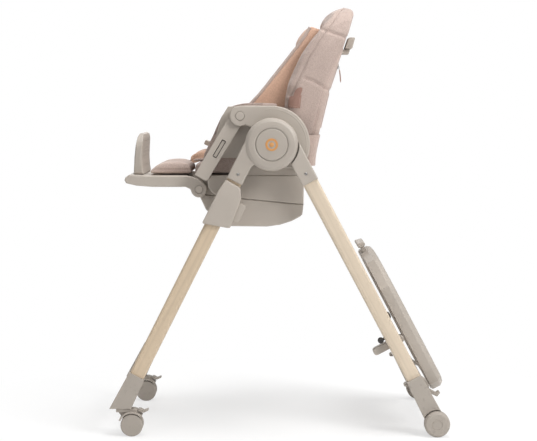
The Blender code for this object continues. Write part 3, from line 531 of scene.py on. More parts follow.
def from_path(path, y, z):
    """Shortest distance in the YZ plane from a point to a path of (y, z) points."""
    best = 1.0
    for (y0, z0), (y1, z1) in zip(path, path[1:]):
        dy, dz = y1 - y0, z1 - z0
        t = min(1.0, max(0.0, ((y - y0) * dy + (z - z0) * dz) / (dy * dy + dz * dz)))
        best = min(best, hypot(y - y0 - t * dy, z - z0 - t * dz))
    return best


def path_y(path, z):
    """y of a path that rises in z, at a height."""
    if z <= path[0][1]:
        return path[0][0]
    for (y0, z0), (y1, z1) in zip(path, path[1:]):
        if z <= z1:
            return y0 + (y1 - y0) * (z - z0) / (z1 - z0)
    return path[-1][0]


# ---- padded pieces
def blown(name, mesh, held, pressure):
    """Where a cloth simulation under inner pressure takes a cover's vertices."""
    still = [bool(held and held(v.co, v.normal)) for v in mesh.vertices]
    cover = bpy.data.objects.new(name + "_cover", mesh)
    SCENE.collection.objects.link(cover)
    cloth = cover.modifiers.new("cloth", "CLOTH")
    cloth.settings.quality = 4
    cloth.settings.use_pressure = True
    cloth.settings.uniform_pressure_force = pressure
    cloth.settings.effector_weights.gravity = 0.0
    if any(still):
        group = cover.vertex_groups.new(name="held")
        group.add([i for i, fixed in enumerate(still) if fixed], 1.0, "REPLACE")
        cloth.settings.vertex_group_mass = "held"
    cloth.point_cache.frame_end = SIM_STEPS
    for step in range(1, SIM_STEPS + 1):
        SCENE.frame_set(step)
    result = evaluated(cover)
    swollen = [v.co.copy() for v in result.vertices]
    bpy.data.meshes.remove(result)
    bpy.data.objects.remove(cover)
    SCENE.frame_set(1)
    return swollen


def puffed(name, source_mesh, body, looks, cap, held=None, voxel=0.005, shrink=0.003,
           pressure=4.0, finish=None, pick=None, rounds=6):
    """A padded piece from a closed mesh: remeshed, blown up by a cloth simulation, then sewn.

    held(co, normal) is true where the piece rests on something and stays put, cap is how far the
    cover may swell, finish(co, normal) is an offset along the normal for seams and channels, and
    pick(centre) is the material index of a face.
    """
    source = bpy.data.objects.new(name + "_source", source_mesh)
    SCENE.collection.objects.link(source)
    weld = source.modifiers.new("weld", "WELD")
    weld.merge_threshold = 0.00001
    remesh = source.modifiers.new("remesh", "REMESH")
    remesh.mode = "VOXEL"
    remesh.voxel_size = voxel
    smooth = source.modifiers.new("smooth", "SMOOTH")
    smooth.factor = 0.5
    smooth.iterations = rounds
    mesh = evaluated(source)
    bpy.data.objects.remove(source)
    for v in mesh.vertices:
        v.co = v.co - v.normal * shrink
    mesh.update()
    rest = [v.co.copy() for v in mesh.vertices]
    for v, start, end in zip(mesh.vertices, rest, blown(name, mesh, held, pressure)):
        move = end - start
        if move.length > cap:
            move = move.normalized() * cap
        v.co = start + move
    mesh.update()
    mesh.materials.clear()
    coarse = bpy.data.objects.new(name + "_coarse", mesh)
    SCENE.collection.objects.link(coarse)
    relax = coarse.modifiers.new("relax", "SMOOTH")
    relax.factor = 0.5
    relax.iterations = 2
    divide = coarse.modifiers.new("divide", "SUBSURF")
    divide.levels = 1
    divide.render_levels = 1
    fine = evaluated(coarse)
    bpy.data.objects.remove(coarse)
    if finish:
        offsets = [finish(v.co, v.normal) for v in fine.vertices]
        normals = [v.normal.copy() for v in fine.vertices]
        for v, n, offset in zip(fine.vertices, normals, offsets):
            v.co = v.co + n * offset
        fine.update()
    fine.shade_smooth()
    obj = piece(name, fine, body, looks)
    if pick:
        for face in fine.polygons:
            face.material_index = pick(face.center)
    return obj


def resting(way, limit):
    """A held() for a piece that rests on the side turned away from way."""
    return lambda co, normal: normal.dot(way) < limit


def groove(distance, depth, width):
    """How far a sewn channel pulls the cover in, at a distance from its line."""
    return -depth * max(0.0, 1 - (distance / width) ** 2) ** 2 if abs(distance) < width else 0.0


SIM_STEPS = 16
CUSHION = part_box("backrest_cushion")
BACK_HALF = CUSHION[1][0]
# side view of the back's seams, as fractions of the cushion's box, from the bottom up
PIPING = in_side("backrest_cushion", (0.045, 0.18), (0.043, 0.273), (0.093, 0.327), (0.168, 0.405),
                 (0.262, 0.512), (0.347, 0.608), (0.473, 0.715), (0.590, 0.805), (0.683, 0.866),
                 (0.769, 0.939), (0.845, 0.980))
BAND = in_side("backrest_cushion", (0.37, 0.0), (0.381, 0.022), (0.458, 0.189), (0.558, 0.400),
               (0.675, 0.530), (0.800, 0.665), (0.925, 0.785))
CROSS = (in_side("backrest_cushion", (0.34, 0.020), (0.47, 0.0)),
         in_side("backrest_cushion", (0.290, 0.455), (0.40, 0.436), (0.53, 0.394), (0.67, 0.352)),
         in_side("backrest_cushion", (0.515, 0.818), (0.68, 0.790), (0.86, 0.752)))


def plate_filler(bm):
    """The back shell's plate, a little swollen, so that the cover closes over its slot."""
    base = NODES["backrest_shell"].data
    half = BACK_HALF - 0.02
    rows = {}
    for v in base.vertices:
        if abs(v.co.x) < 0.145 and v.co.z > CUSHION[0][2] - 0.03 and abs(v.co.x) > 0.13:
            rows.setdefault(round(v.co.z, 4), []).append(v.co.y)
    spans = [(z, min(ys), max(ys)) for z, ys in sorted(rows.items())]
    rear = [(y1 + 0.002, z) for z, _, y1 in spans]
    front = [(y0 - 0.002, z) for z, y0, _ in spans]
    prism(bm, rear + front[::-1], half)


def back_cover():
    bm = bmesh.new()
    bm.from_mesh(NODES["backrest_cushion"].data)
    plate_filler(bm)
    solid = raw_mesh(bm, "back_solid")

    def held(co, normal):
        return normal.y > 0.75 or normal.z < -0.8

    def finish(co, normal):
        offset = 0.0
        if abs(co.x) > BACK_HALF * 0.62:
            y, z = co.y, co.z
            offset += groove(from_path(PIPING, y, z), 0.0022, 0.006)
            offset += groove(from_path(BAND, y, z), 0.0018, 0.005)
            offset += sum(groove(from_path(line, y, z), 0.0026, 0.007) for line in CROSS)
            return offset
        if normal.y > 0.6:
            offset += groove(co.z - CUSHION[0][2] - 0.045, 0.003, 0.007)
        elif normal.y < -0.3:
            for x in (-0.045, 0.045):
                offset += groove(co.x - x, 0.003, 0.009)
        return offset

    def pick(centre):
        return 1 if centre.y > path_y(BAND, centre.z) and centre.z < BAND[-1][1] + 0.01 else 0

    obj = puffed("back_cover", solid, "backrest", ["rose", "rose_pale"], 0.007, held,
                 finish=finish, pick=pick, rounds=14)
    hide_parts("backrest_cushion")
    return obj


def seat_cover():
    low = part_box("seat_cushion")[0]
    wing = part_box("seat_side_left")[0][0] - 0.004

    def held(co, normal):
        return normal.z < -0.7 or abs(co.x) > wing - 0.003

    def finish(co, normal):
        if abs(co.x) > 0.135:
            return groove(co.z - (low[2] + 0.085) - 0.25 * (co.y - low[1]), 0.0025, 0.007)
        return groove(co.y - low[1] - 0.035, 0.003, 0.008)

    # painted shade: the seat's cover takes the rose fabric darkened to 0.80
    obj = puffed("seat_cover", NODES["seat_cushion"].data.copy(), "seat", "rose_deep",
                 0.006, held, shrink=0.002, finish=finish)
    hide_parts("seat_cushion")
    return obj


def insert_back():
    low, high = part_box("inlay_back")
    rows = [low[2] + (high[2] - low[2]) * k for k in (0.30, 0.50, 0.70)]

    def finish(co, normal):
        if normal.dot(BACK_FRONT) < 0.3 or abs(co.x) > 0.095:
            return 0.0
        return sum(groove(co.z - row, 0.003, 0.010) for row in rows)

    obj = puffed("insert_back", NODES["inlay_back"].data.copy(), "backrest", "peach",
                 0.006, resting(BACK_FRONT, -0.6), shrink=0.003, finish=finish)
    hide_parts("inlay_back")
    return obj


def insert_seat():
    low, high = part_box("inlay_seat")

    def finish(co, normal):
        if normal.z < 0.3:
            return 0.0
        return sum(groove(co.y - low[1] - k, 0.0025, 0.009) for k in (0.055, 0.105, 0.155))

    outline = in_side("inlay_seat", (0.030, -0.40), (-0.012, 0.10), (-0.012, 0.45), (0.040, 0.80),
                      (0.13, 0.93), (0.60, 0.90), (0.92, 0.92), (1.0, 0.70), (1.0, 0.05), (0.16, 0.05),
                      (0.09, -0.25))
    solid = side_prism("seat_insert", outline, high[0] - 0.001)
    obj = puffed("insert_seat", solid, "seat", "peach", 0.004, resting(UP, -0.7),
                 voxel=0.004, shrink=0.001, finish=finish, rounds=8)
    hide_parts("inlay_seat")
    return obj


def head_pillow():
    """Small pillow sewn between the insert's upper bolsters."""
    low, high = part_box("inlay_back")
    middle = Vector((0, low[1] + (high[1] - low[1]) * 0.775, low[2] + (high[2] - low[2]) * 0.88))
    up = Vector((0, 0.607, 0.795))
    out = Vector((0, -0.795, 0.607))
    bm = bmesh.new()
    bmesh.ops.create_uvsphere(bm, u_segments=32, v_segments=20, radius=1.0)
    for v in bm.verts:
        x, y, z = (abs(c) ** 0.8 * (1 if c > 0 else -1) for c in v.co)
        v.co = middle + Vector((x * 0.088, 0, 0)) + up * z * 0.036 + out * y * 0.020
    puffed("head_pillow", raw_mesh(bm, "pillow"), "backrest", "peach", 0.003,
           resting(out, -0.5), voxel=0.004, shrink=0.001, rounds=3)


def side_prism(name, outline, half):
    """A closed mesh from a side outline of (y, z), as wide as half to each side."""
    bm = bmesh.new()
    prism(bm, outline, half)
    return raw_mesh(bm, name)


def calf_pad():
    outline = in_side("leg_rest", (0.288, 0.985), (0.296, 1.19), (0.370, 1.42), (0.480, 1.55),
                      (0.640, 1.56), (0.760, 1.49), (0.808, 1.30), (0.812, 1.08), (0.790, 0.985))
    low, high = outline[0][1], outline[4][1]
    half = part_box("leg_rest_pad")[1][0] + 0.002

    def finish(co, normal):
        if normal.z > 0.2:
            return sum(groove(co.x - x, 0.0016, 0.008) for x in (-0.06, 0.06))
        return groove(co.z - low - 0.36 * (high - low), 0.0012, 0.004)

    obj = puffed("calf_pad", side_prism("calf", outline, half), "leg_rest", "rose_pale",
                 0.005, resting(UP, -0.6), voxel=0.004, shrink=0.002, finish=finish, rounds=8)
    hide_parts("leg_rest_pad")
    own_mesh(obj)
    return obj


def seat_bridge():
    """Padded cloth that closes the fold between the seat and the back, over the recline rod."""
    rod = pivot("recline")
    path = [(-0.060, -0.0035), (-0.045, 0.0005), (-0.028, 0.0100), (-0.0185, 0.0300), (-0.0140, 0.0560),
            (-0.0075, 0.0850)]
    rear = [(rod.y + y + 0.0050, rod.z + z - 0.0010) for y, z in path[2:]]
    front = [(rod.y + y - 0.0030, rod.z + z + 0.0035) for y, z in path]
    under = [(rod.y + y, rod.z + z - 0.0045) for y, z in path[:2]]
    outline = front + rear[::-1] + under[::-1]
    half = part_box("seat_side_left")[0][0] - 0.010

    def held(co, normal):
        return normal.y > 0.5 or normal.z < -0.6

    # painted shade: the fold between seat and back takes the darkened rose fabric
    obj = puffed("seat_bridge", side_prism("bridge", outline, half), None, "rose_deep",
                 0.003, held, voxel=0.004, shrink=0.0005, rounds=3)
    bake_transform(obj)
    return obj


def back_skirt():
    """Cloth skirt below the back cover, round the rear of the shell's two hinge lugs."""
    rod = pivot("recline")
    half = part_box("backrest_shell")[1][0] + 0.0020
    rows = []
    for k in range(13):
        t = k / 12
        z = rod.z - 0.016 + 0.076 * t
        rear = rod.y + 0.0265 + 0.0130 * t ** 1.6
        section = [(half, rod.y + 0.008), (half, rear - 0.008), (half - 0.0025, rear - 0.002),
                   (half - 0.010, rear)]
        inner = [(half - 0.010 - (2 * half - 0.020) * i / 40, rear + 0.0012 * sin(i * 0.9) * (1 - t))
                 for i in range(1, 40)]
        rows.append([Vector((x, y, z)) for x, y in section + inner +
                     [(-x, y) for x, y in reversed(section)]])
    bm = bmesh.new()
    grid = []
    for row in rows:
        turned_out = []
        for i, point in enumerate(row):
            along = row[min(i + 1, len(row) - 1)] - row[max(i - 1, 0)]
            turned_out.append((point, Vector((-along.y, along.x, 0)).normalized() * -1))
        grid.append(turned_out)
    sheet_of(bm, grid, 0.0012)
    mesh = mesh_of(bm, "skirt", 60)
    top = rows[-1][0].z

    def held(co, normal):
        return co.z > top - 0.012 or abs(co.x) > half - 0.004

    for v, co in zip(mesh.vertices, blown("back_skirt", mesh, held, 0.4)):
        move = co - v.co
        v.co = v.co + (move.normalized() * 0.002 if move.length > 0.002 else move)
    mesh.update()
    mesh.materials.clear()
    obj = piece("back_skirt", mesh, "backrest", "rose_pale")
    divide = obj.modifiers.new("divide", "SUBSURF")
    divide.levels = 1
    divide.render_levels = 1
    return obj


# ---- sewn trim
def trim(name, bm, body, look, smooth=50):
    return piece(name, mesh_of(bm, name, smooth), body, look)


def side_points(path, sign, step=0.004):
    """Points beside the chair, level with a side-view path."""
    return spaced(smoothed([Vector((sign * 0.5, y, z)) for y, z in path], 2), step)


def side_line(tree, path, sign):
    """A side-view path laid on a cover's outer side."""
    return cast(tree, side_points(path, sign), Vector((-sign, 0, 0)))


def back_trim(tree):
    """Piping round the back's front edge and the stitched seams along its sides."""
    left, _ = side_line(tree, PIPING, 1)
    right, _ = side_line(tree, PIPING, -1)
    edge = left[-1]
    over = [Vector((x / 20 * edge.x, edge.y + 0.0035 * (1 - (x / 20) ** 2), 1.3))
            for x in range(19, -20, -1)]
    top, _ = cast(tree, over, Vector((0, 0, -1)))
    bm = bmesh.new()
    tube(bm, eased(left + top + right[::-1], 4), 0.0015, 8)
    trim("back_piping", bm, "backrest", "piping")

    bm = bmesh.new()
    for sign in (1, -1):
        for path in (BAND, *CROSS):
            for shift in (-0.0022, 0.0022):
                dy, dz = (shift, 0.0) if path is BAND else (0.0, shift)
                moved = [(y + dy, z + dz) for y, z in path]
                line = spaced(smoothed([Vector((sign * 0.5, y, z)) for y, z in moved]), 0.0008)
                stitches(bm, *cast(tree, line, Vector((-sign, 0, 0))))
    trim("back_stitching", bm, "backrest", "thread")


def zip_line(tree):
    """The cover's zip, down the left of the back's rear face, with its teeth, slider and pull."""
    tapes, teeth, metal, pulls = (bmesh.new() for _ in range(4))
    low, high = CUSHION
    ends = (low[2] + 0.03, low[2] + (high[2] - low[2]) * 0.56)
    x = BACK_HALF - 0.020
    starts = [Vector((x, 0.6, ends[0] + (ends[1] - ends[0]) * k / 160)) for k in range(161)]
    line, normals = cast(tree, starts, Vector((0, -1, 0)))
    line = eased(line, 4)
    ribbon(tapes, [p + n * 0.0003 for p, n in zip(line[::4], normals[::4])], normals[::4],
           0.012, 0.0012)
    for k, (point, normal) in enumerate(zip(line, normals)):
        side = BACK_UP.cross(normal).normalized()
        place = point + normal * 0.0012 + side * 0.0007 * (1 if k % 2 else -1)
        block(teeth, place, (side, BACK_UP, normal), (0.0026, 0.0008, 0.0014))
    head, normal = line[-8], normals[-8]
    side = BACK_UP.cross(normal).normalized()
    block(metal, head + normal * 0.0022, (side, BACK_UP, normal), (0.0062, 0.0085, 0.0028))
    loop = [head + normal * (0.0042 + 0.0016 * sin(pi * k / 8)) + BACK_UP * 0.004 * cos(pi * k / 8)
            for k in range(9)]
    tube(metal, loop, 0.0006, 6)
    tail = head - BACK_UP * 0.003 + normal * 0.0062
    drop = [tail + Vector((0, 0.0030 * sin(k / 8 * 1.6), -0.0335 * k / 8)) for k in range(9)]
    ribbon(pulls, drop, [Vector((0, 1, 0))] * 9, 0.0046, 0.0026, 0.3)
    trim("zip_tape", tapes, "backrest", "piping")
    trim("zip_teeth", teeth, "backrest", "thread", smooth=20)
    trim("zip_slider", metal, "backrest", "steel")
    trim("zip_pull", pulls, "backrest", "tab")


def leather_tabs(tree):
    """A leather tab sewn into the piping seam on each side of the back, with a rounded tongue."""
    bm, seams = bmesh.new(), bmesh.new()
    corners = in_side("backrest_cushion", (0.062, 0.242), (0.076, 0.318), (0.243, 0.330), (0.221, 0.234))
    foot0, head0, head1, foot1 = (Vector((0, y, z)) for y, z in corners)
    tongue_foot, tongue_head = head0.lerp(head1, 0.62), head0.lerp(head1, 0.62) + Vector((0, 0.008, 0.021))
    across, along = (head1 - head0).normalized(), (tongue_head - tongue_foot).normalized()

    def laid(point, sign):
        start = Vector((sign * 0.4, point.y, point.z))
        found, normal, _, _ = tree.ray_cast(start, Vector((-sign, 0, 0)))
        return found, normal

    for sign in (1, -1):
        grid = []
        for i in range(15):
            u = i / 14
            bottom, top = foot0.lerp(foot1, u), head0.lerp(head1, u)
            grid.append([laid(bottom.lerp(top, j / 14), sign) for j in range(15)])
        sheet_of(bm, grid, 0.0016)
        tongue = []
        for i in range(13):
            u = i / 12 * 2 - 1
            length = 0.0165 + 0.0085 * max(0.0, 1 - abs(u) ** 2.2) ** 0.5
            start = tongue_foot + across * u * 0.0085 - along * 0.003
            tongue.append([laid(start + along * length * j / 10, sign) for j in range(11)])
        sheet_of(bm, tongue, 0.0021)
        loop = [foot0.lerp(head1, 0.10), foot1.lerp(head0, 0.10), head1.lerp(foot0, 0.10)]
        line = spaced(loop, 0.0008)
        points, normals = cast(tree, [Vector((sign * 0.4, p.y, p.z)) for p in line],
                               Vector((-sign, 0, 0)))
        stitches(seams, [p + n * 0.0017 for p, n in zip(points, normals)], normals)
    trim("leather_tabs", bm, "backrest", "tab")
    trim("tab_stitching", seams, "backrest", "thread")


def sheet_of(bm, grid, thick):
    """A thin skin over a grid of (point, normal), closed along its rim."""
    outer = [[bm.verts.new(p + n * thick) for p, n in row] for row in grid]
    inner = [[bm.verts.new(p - n * 0.0010) for p, n in row] for row in grid]
    for side, flip in ((outer, False), (inner, True)):
        for a, b in zip(side, side[1:]):
            for k in range(len(a) - 1):
                quad = (a[k], b[k], b[k + 1], a[k + 1])
                bm.faces.new(quad[::-1] if flip else quad)
    rim_out = outer[0] + [r[-1] for r in outer[1:]] + outer[-1][-2::-1] + [r[0] for r in outer[-2:0:-1]]
    rim_in = inner[0] + [r[-1] for r in inner[1:]] + inner[-1][-2::-1] + [r[0] for r in inner[-2:0:-1]]
    for k in range(len(rim_out)):
        j = (k + 1) % len(rim_out)
        bm.faces.new((rim_out[k], rim_out[j], rim_in[j], rim_in[k]))


def piped(name, tree, path, body, radius=0.0022, look="piping", reach=0.03):
    """Piping along a path, pulled onto a cover's surface."""
    line, _ = snapped(tree, spaced(smoothed(path, 2), 0.004), reach)
    bm = bmesh.new()
    tube(bm, eased(line, 4), radius, 8)
    return trim(name, bm, body, look)


def soft_trim(seat, back, cushion):
    """Piping round the insert, the seat's wings and the front of the seat insert."""
    wing = in_side("seat_cushion", (0.11, 0.27), (0.165, 0.395), (0.23, 0.605), (0.318, 0.842),
                   (0.393, 0.939), (0.468, 0.974), (0.575, 0.995), (0.80, 1.0))
    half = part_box("seat_cushion")[1][0]
    edge = in_side("inlay_back", (0.0, 0.28), (0.045, 0.315), (0.265, 0.507), (0.445, 0.668),
                   (0.565, 0.778), (0.685, 0.888), (0.757, 0.955), (0.80, 0.99))
    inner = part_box("inlay_back")[1][0]
    for label, sign in SIDES:
        path = [Vector((sign * (half - 0.002), y - 0.006, z + 0.004)) for y, z in wing]
        piped(f"wing_piping_{label}", seat, path, "seat", 0.0020)
        path = [Vector((sign * (inner + 0.004), y - 0.004, z + 0.003)) for y, z in edge]
        piped(f"insert_piping_{label}", back, path, "backrest", 0.0046, "insert_piping")
    low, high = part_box("inlay_seat")
    edge = low[2] + 0.10 * (high[2] - low[2])
    half = [(high[0] + 0.002, high[1] - 0.04, edge + 0.004), (high[0] + 0.002, low[1] + 0.02, edge),
            (high[0] - 0.02, low[1] - 0.006, edge - 0.003)]
    rim = [Vector(p) for p in half] + [Vector((-x, y, z)) for x, y, z in reversed(half)]
    piped("seat_insert_piping", cushion, rim, "seat", 0.0028, "insert_piping")


# ---- harness
def draped(tree, starts, direction, lift):
    line, normals = cast(tree, starts, direction)
    return [p + n * lift for p, n in zip(line, normals)], normals


def harness(back, seat):
    """Shoulder straps with pads, lap straps and the crotch strap, all ending at the buckle."""
    shoulder_low, shoulder_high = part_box("shoulder_straps")
    buckle_low, buckle_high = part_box("harness_buckle")
    buckle = (Vector(buckle_low) + Vector(buckle_high)) / 2
    straps = bmesh.new()
    pads = bmesh.new()
    spread = 0.042
    drop = shoulder_high[2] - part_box("inlay_back")[0][2] - 0.03
    for sign in (1, -1):
        starts = [Vector((sign * (spread - 0.010 * k / 40), -0.3, shoulder_high[2] - drop * k / 40))
                  for k in range(41)]
        on_back, _ = draped(back, starts, Vector((0, 1, 0)), 0.0012)
        ahead = [Vector((sign * (spread - 0.012 - 0.012 * k / 20), -0.02 + (buckle.y + 0.055) * k / 20,
                         0.9)) for k in range(21)]
        on_seat, _ = draped(seat, ahead, Vector((0, 0, -1)), 0.0014)
        into = Vector((sign * 0.014, buckle_high[1] - 0.002, buckle_low[2] + 0.008))
        lift = [on_seat[-1].lerp(into, k / 6) for k in range(1, 7)]
        line = smoothed(on_back + on_seat + lift, 1)
        line = eased(line, 6)
        ups = []
        for point in line:
            if point.z > on_back[-1].z:
                ups.append(BACK_FRONT)
            else:
                t = min(1.0, max(0.0, (on_back[-1].y - point.y) / 0.03))
                ups.append(BACK_FRONT.lerp(Vector((0, 0, 1)), t).normalized())
        ribbon(straps, line, ups, 0.024, 0.0018)
        upper = [p + BACK_FRONT * 0.0045 for p in on_back if p.z > shoulder_low[2] - 0.006]
        ribbon(pads, eased(upper, 4), [BACK_FRONT] * len(upper), 0.046, 0.009, 0.35)
    shoulder = trim("shoulder_harness", straps, None, "webbing")
    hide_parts("shoulder_straps")
    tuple(on_back[24])
    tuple(on_seat[3])
    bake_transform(shoulder)
    puffed("strap_pads", mesh_of(pads, "strap_pads"), "backrest", "rose_pale", 0.003,
           resting(BACK_FRONT, -0.3), voxel=0.003, shrink=0.0004, rounds=2)
    lap = bmesh.new()
    for sign in (1, -1):
        reach = [Vector((sign * (0.030 + 0.085 * k / 20), buckle.y + 0.012 + 0.085 * (k / 20) ** 1.6, 0.9))
                 for k in range(21)]
        line, _ = draped(seat, reach, Vector((0, 0, -1)), 0.0014)
        start = Vector((sign * (buckle_high[0] - 0.002), buckle.y + 0.002, buckle.z))
        join = [start.lerp(line[0], k / 5) for k in range(5)]
        line = eased(join + line, 4)
        ribbon(lap, line, [Vector((0, 0, 1))] * len(line), 0.023, 0.0018)
    trim("lap_straps", lap, "seat", "webbing")
    crotch = bmesh.new()
    low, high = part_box("crotch_strap")
    foot, _ = draped(seat, [Vector((0, high[1] + 0.006, 0.9))], Vector((0, 0, -1)), -0.002)
    top = Vector((0, (low[1] + high[1]) / 2, high[2] + 0.002))
    bends = [top + Vector((0, 0.004, -0.006)), foot[0] + Vector((0, 0.001, 0.006))]
    line = smoothed([top, *bends, foot[0]], 2)
    ribbon(crotch, line, [Vector((0, -1, 0))] * len(line), 0.026, 0.0020)
    tape = trim("crotch_webbing", crotch, "seat", "webbing")
    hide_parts("crotch_strap")


# ---- moulded details
def outer_face(node, sign):
    """x of a node's outermost face, on the chair's left for sign 1 and on its right for -1."""
    low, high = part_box(node)
    return high[0] if sign > 0 else low[0]


def arc_points(centre, radius, start, end, x, steps=48):
    turns = [radians(start + (end - start) * k / steps) for k in range(steps + 1)]
    return [Vector((x, centre.y + radius * cos(a), centre.z + radius * sin(a))) for a in turns]


def hub_details(label, sign):
    """Amber ring and dot inlaid in the hub cap, and the round ridge on the seat's side housing."""
    middle = Vector((outer_face(f"hub_cap_{label}", sign), HUB.y, HUB.z))
    bm = bmesh.new()
    ring = [(-0.0006, 0.0097), (0.0007, 0.0101), (0.0007, 0.0149), (-0.0006, 0.0153)]
    turned(bm, middle, ring + ring[:1], 40, sign)
    bmesh.ops.remove_doubles(bm, verts=bm.verts, dist=0.00001)
    dot = [(-0.0008, 0), (-0.0008, 0.0056), (0.0004, 0.0056), (0.0009, 0.0050), (0.0009, 0)]
    turned(bm, middle, dot, 28, sign)
    trim(f"hub_emblem_{label}", bm, f"fold_button_{label}", "emblem", 40)
    cheek = outer_face(f"seat_side_{label}", sign)
    bm = bmesh.new()
    tube(bm, arc_points(HUB, 0.0845, -12, 101, cheek - sign * 0.0022), 0.0028, 10)
    trim(f"housing_ridge_{label}", bm, "seat", "shell")


def armrest_slot_shade(label, sign):
    """Painted shadow along the floor of the latch pocket in the armrest's outer face: a thin dark rim that
    stands for the shade at the slot's edges.
    """
    pin = pivot(f"armrest_fold_{label}")
    down = Vector((0, -sin(ARM_LEAN), -cos(ARM_LEAN)))
    rear = Vector((0, cos(ARM_LEAN), -sin(ARM_LEAN)))
    floor = Vector((outer_face(f"armrest_{label}", sign) - sign * 0.0036, pin.y, pin.z))
    corners = [floor + down * s + rear * w for s, w in
               ((0.0712, -0.0070), (0.1168, -0.0070), (0.1168, 0.0019), (0.0712, 0.0019))]
    loop = spaced(corners + corners[:1], 0.0015)
    bm = bmesh.new()
    tube(bm, loop, 0.0009, 8)
    # painted shade: this dark rim is the slot edges' shadow, not a part
    trim(f"armrest_slot_{label}", bm, f"armrest_{label}", "rubber")


def screw_details():
    """Painted shade of the cross recesses in the four leg screws: thin dark crosses laid on their heads.
    """
    for end, body in (("front", "frame"), ("rear", "rear_frame")):
        for label, sign in SIDES:
            screw = f"{end}_leg_screw_{label}"
            middle = sum(map(Vector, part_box(screw)), Vector()) / 2
            middle.x = outer_face(screw, sign)
            bm = bmesh.new()
            for turn in (35, 125):
                a = radians(turn)
                along = Vector((0, cos(a), sin(a)))
                block(bm, middle, (along, Vector((0, -sin(a), cos(a))), Vector((1, 0, 0))),
                      (0.0042, 0.0009, 0.0003))
            # painted shade: the dark crosses stand for the recesses' shadow
            trim(f"{end}_screw_cross_shade_{label}", bm, body, "dark", 20)


def wheel_details(label, sign):
    """Two thin raised rings on each rear wheel's outer face, a cap ring and one nearer the rim."""
    face = outer_face(f"rear_wheel_{label}", sign)
    axle = pivot(f"rear_wheel_roll_{label}")
    bm = bmesh.new()
    tube(bm, arc_points(axle, 0.0130, 0, 360, face - sign * 0.0002, 40)[:-1], 0.0006, 6, True)
    tube(bm, arc_points(axle, 0.0245, 0, 360, face - sign * 0.0006, 48)[:-1], 0.0007, 6, True)
    trim(f"rear_wheel_rings_{label}", bm, f"rear_wheel_{label}", "shell")


def footplate_ribs():
    """Low moulded ribs across the footplate's inner face."""
    tree = shape_of(NODES["footplate"])
    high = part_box("footplate")[1]
    bm = bmesh.new()
    for k in range(9):
        z = high[2] - 0.010 - 0.0086 * k
        half = high[0] - (0.016 if k == 0 else 0.006 if k == 1 else 0.0)
        starts = [Vector((half * (1 - 2 * i / 40), 0.0, z)) for i in range(1, 40)]
        line, _ = cast(tree, starts, Vector((0, -1, 0)))
        ends = []
        for sign in (1, -1):
            sides = [Vector((sign * 0.3, line[0].y - 0.008 + 0.003 * i, z)) for i in range(3)]
            found, _ = cast(tree, sides, Vector((-sign, 0, 0)))
            ends.append(found)
        path = ends[0] + line + ends[1][::-1]
        if len(path) > 10:
            tube(bm, eased(path, 1), 0.0006, 6)
    trim("footplate_ribs", bm, "footplate", "shell")


def rack_details():
    """Rubber stop on the left rear leg, above the rack's hook, and a lip on each rear boot."""
    low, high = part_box("rear_leg_left")
    middle = (low[0] + high[0]) / 2
    stop = HUB + REAR_DOWN * 0.543 + REAR_OUT * 0.0125
    stop.x = middle
    bm = bmesh.new()
    profile = [(0, 0), (0, 0.0060), (0.0015, 0.0072), (0.0105, 0.0072), (0.012, 0.0060),
               (0.012, 0.0030), (0.0112, 0.0026), (0.0112, 0)]
    turned(bm, stop - Vector((0.006, 0, 0)), profile, 24)
    block(bm, stop + REAR_OUT * 0.006, (Vector((1, 0, 0)), REAR_DOWN, REAR_OUT), (0.006, 0.006, 0.008))
    trim("rack_stop", bm, "rear_frame", "rubber", 40)
    for label, sign in SIDES:
        bm = bmesh.new()
        place = HUB + REAR_DOWN * 0.6665 + REAR_OUT * 0.0165
        place.x = middle * sign
        lip = [REAR_DOWN * -0.005 + REAR_OUT * 0.003, REAR_DOWN * -0.0035 - REAR_OUT * 0.0035,
               REAR_DOWN * 0.001 - REAR_OUT * 0.0055, REAR_DOWN * 0.0035 - REAR_OUT * 0.002,
               REAR_DOWN * 0.006 + REAR_OUT * 0.003]
        sides = [[bm.verts.new(place + Vector((x, 0, 0)) + p) for p in lip] for x in (-0.012, 0.012)]
        for i in range(5):
            j = (i + 1) % 5
            bm.faces.new((sides[0][i], sides[0][j], sides[1][j], sides[1][i]))
        bm.faces.new(sides[0][::-1])
        bm.faces.new(sides[1])
        obj = trim(f"rear_boot_lip_{label}", bm, "rear_frame", "foot", 30)
        edge = obj.modifiers.new("soft_edges", "BEVEL")
        edge.width = 0.0012
        edge.segments = 2


# ---- light, floor and camera
def area_light(name, place, target, size, power, colour=(1, 1, 1)):
    data = bpy.data.lights.new(name, "AREA")
    data.shape = "DISK"
    data.size = size
    data.energy = power
    data.color = colour
    obj = bpy.data.objects.new(name, data)
    SCENE.collection.objects.link(obj)
    obj.location = place
    obj.rotation_euler = (Vector(target) - Vector(place)).to_track_quat("-Z", "Y").to_euler()


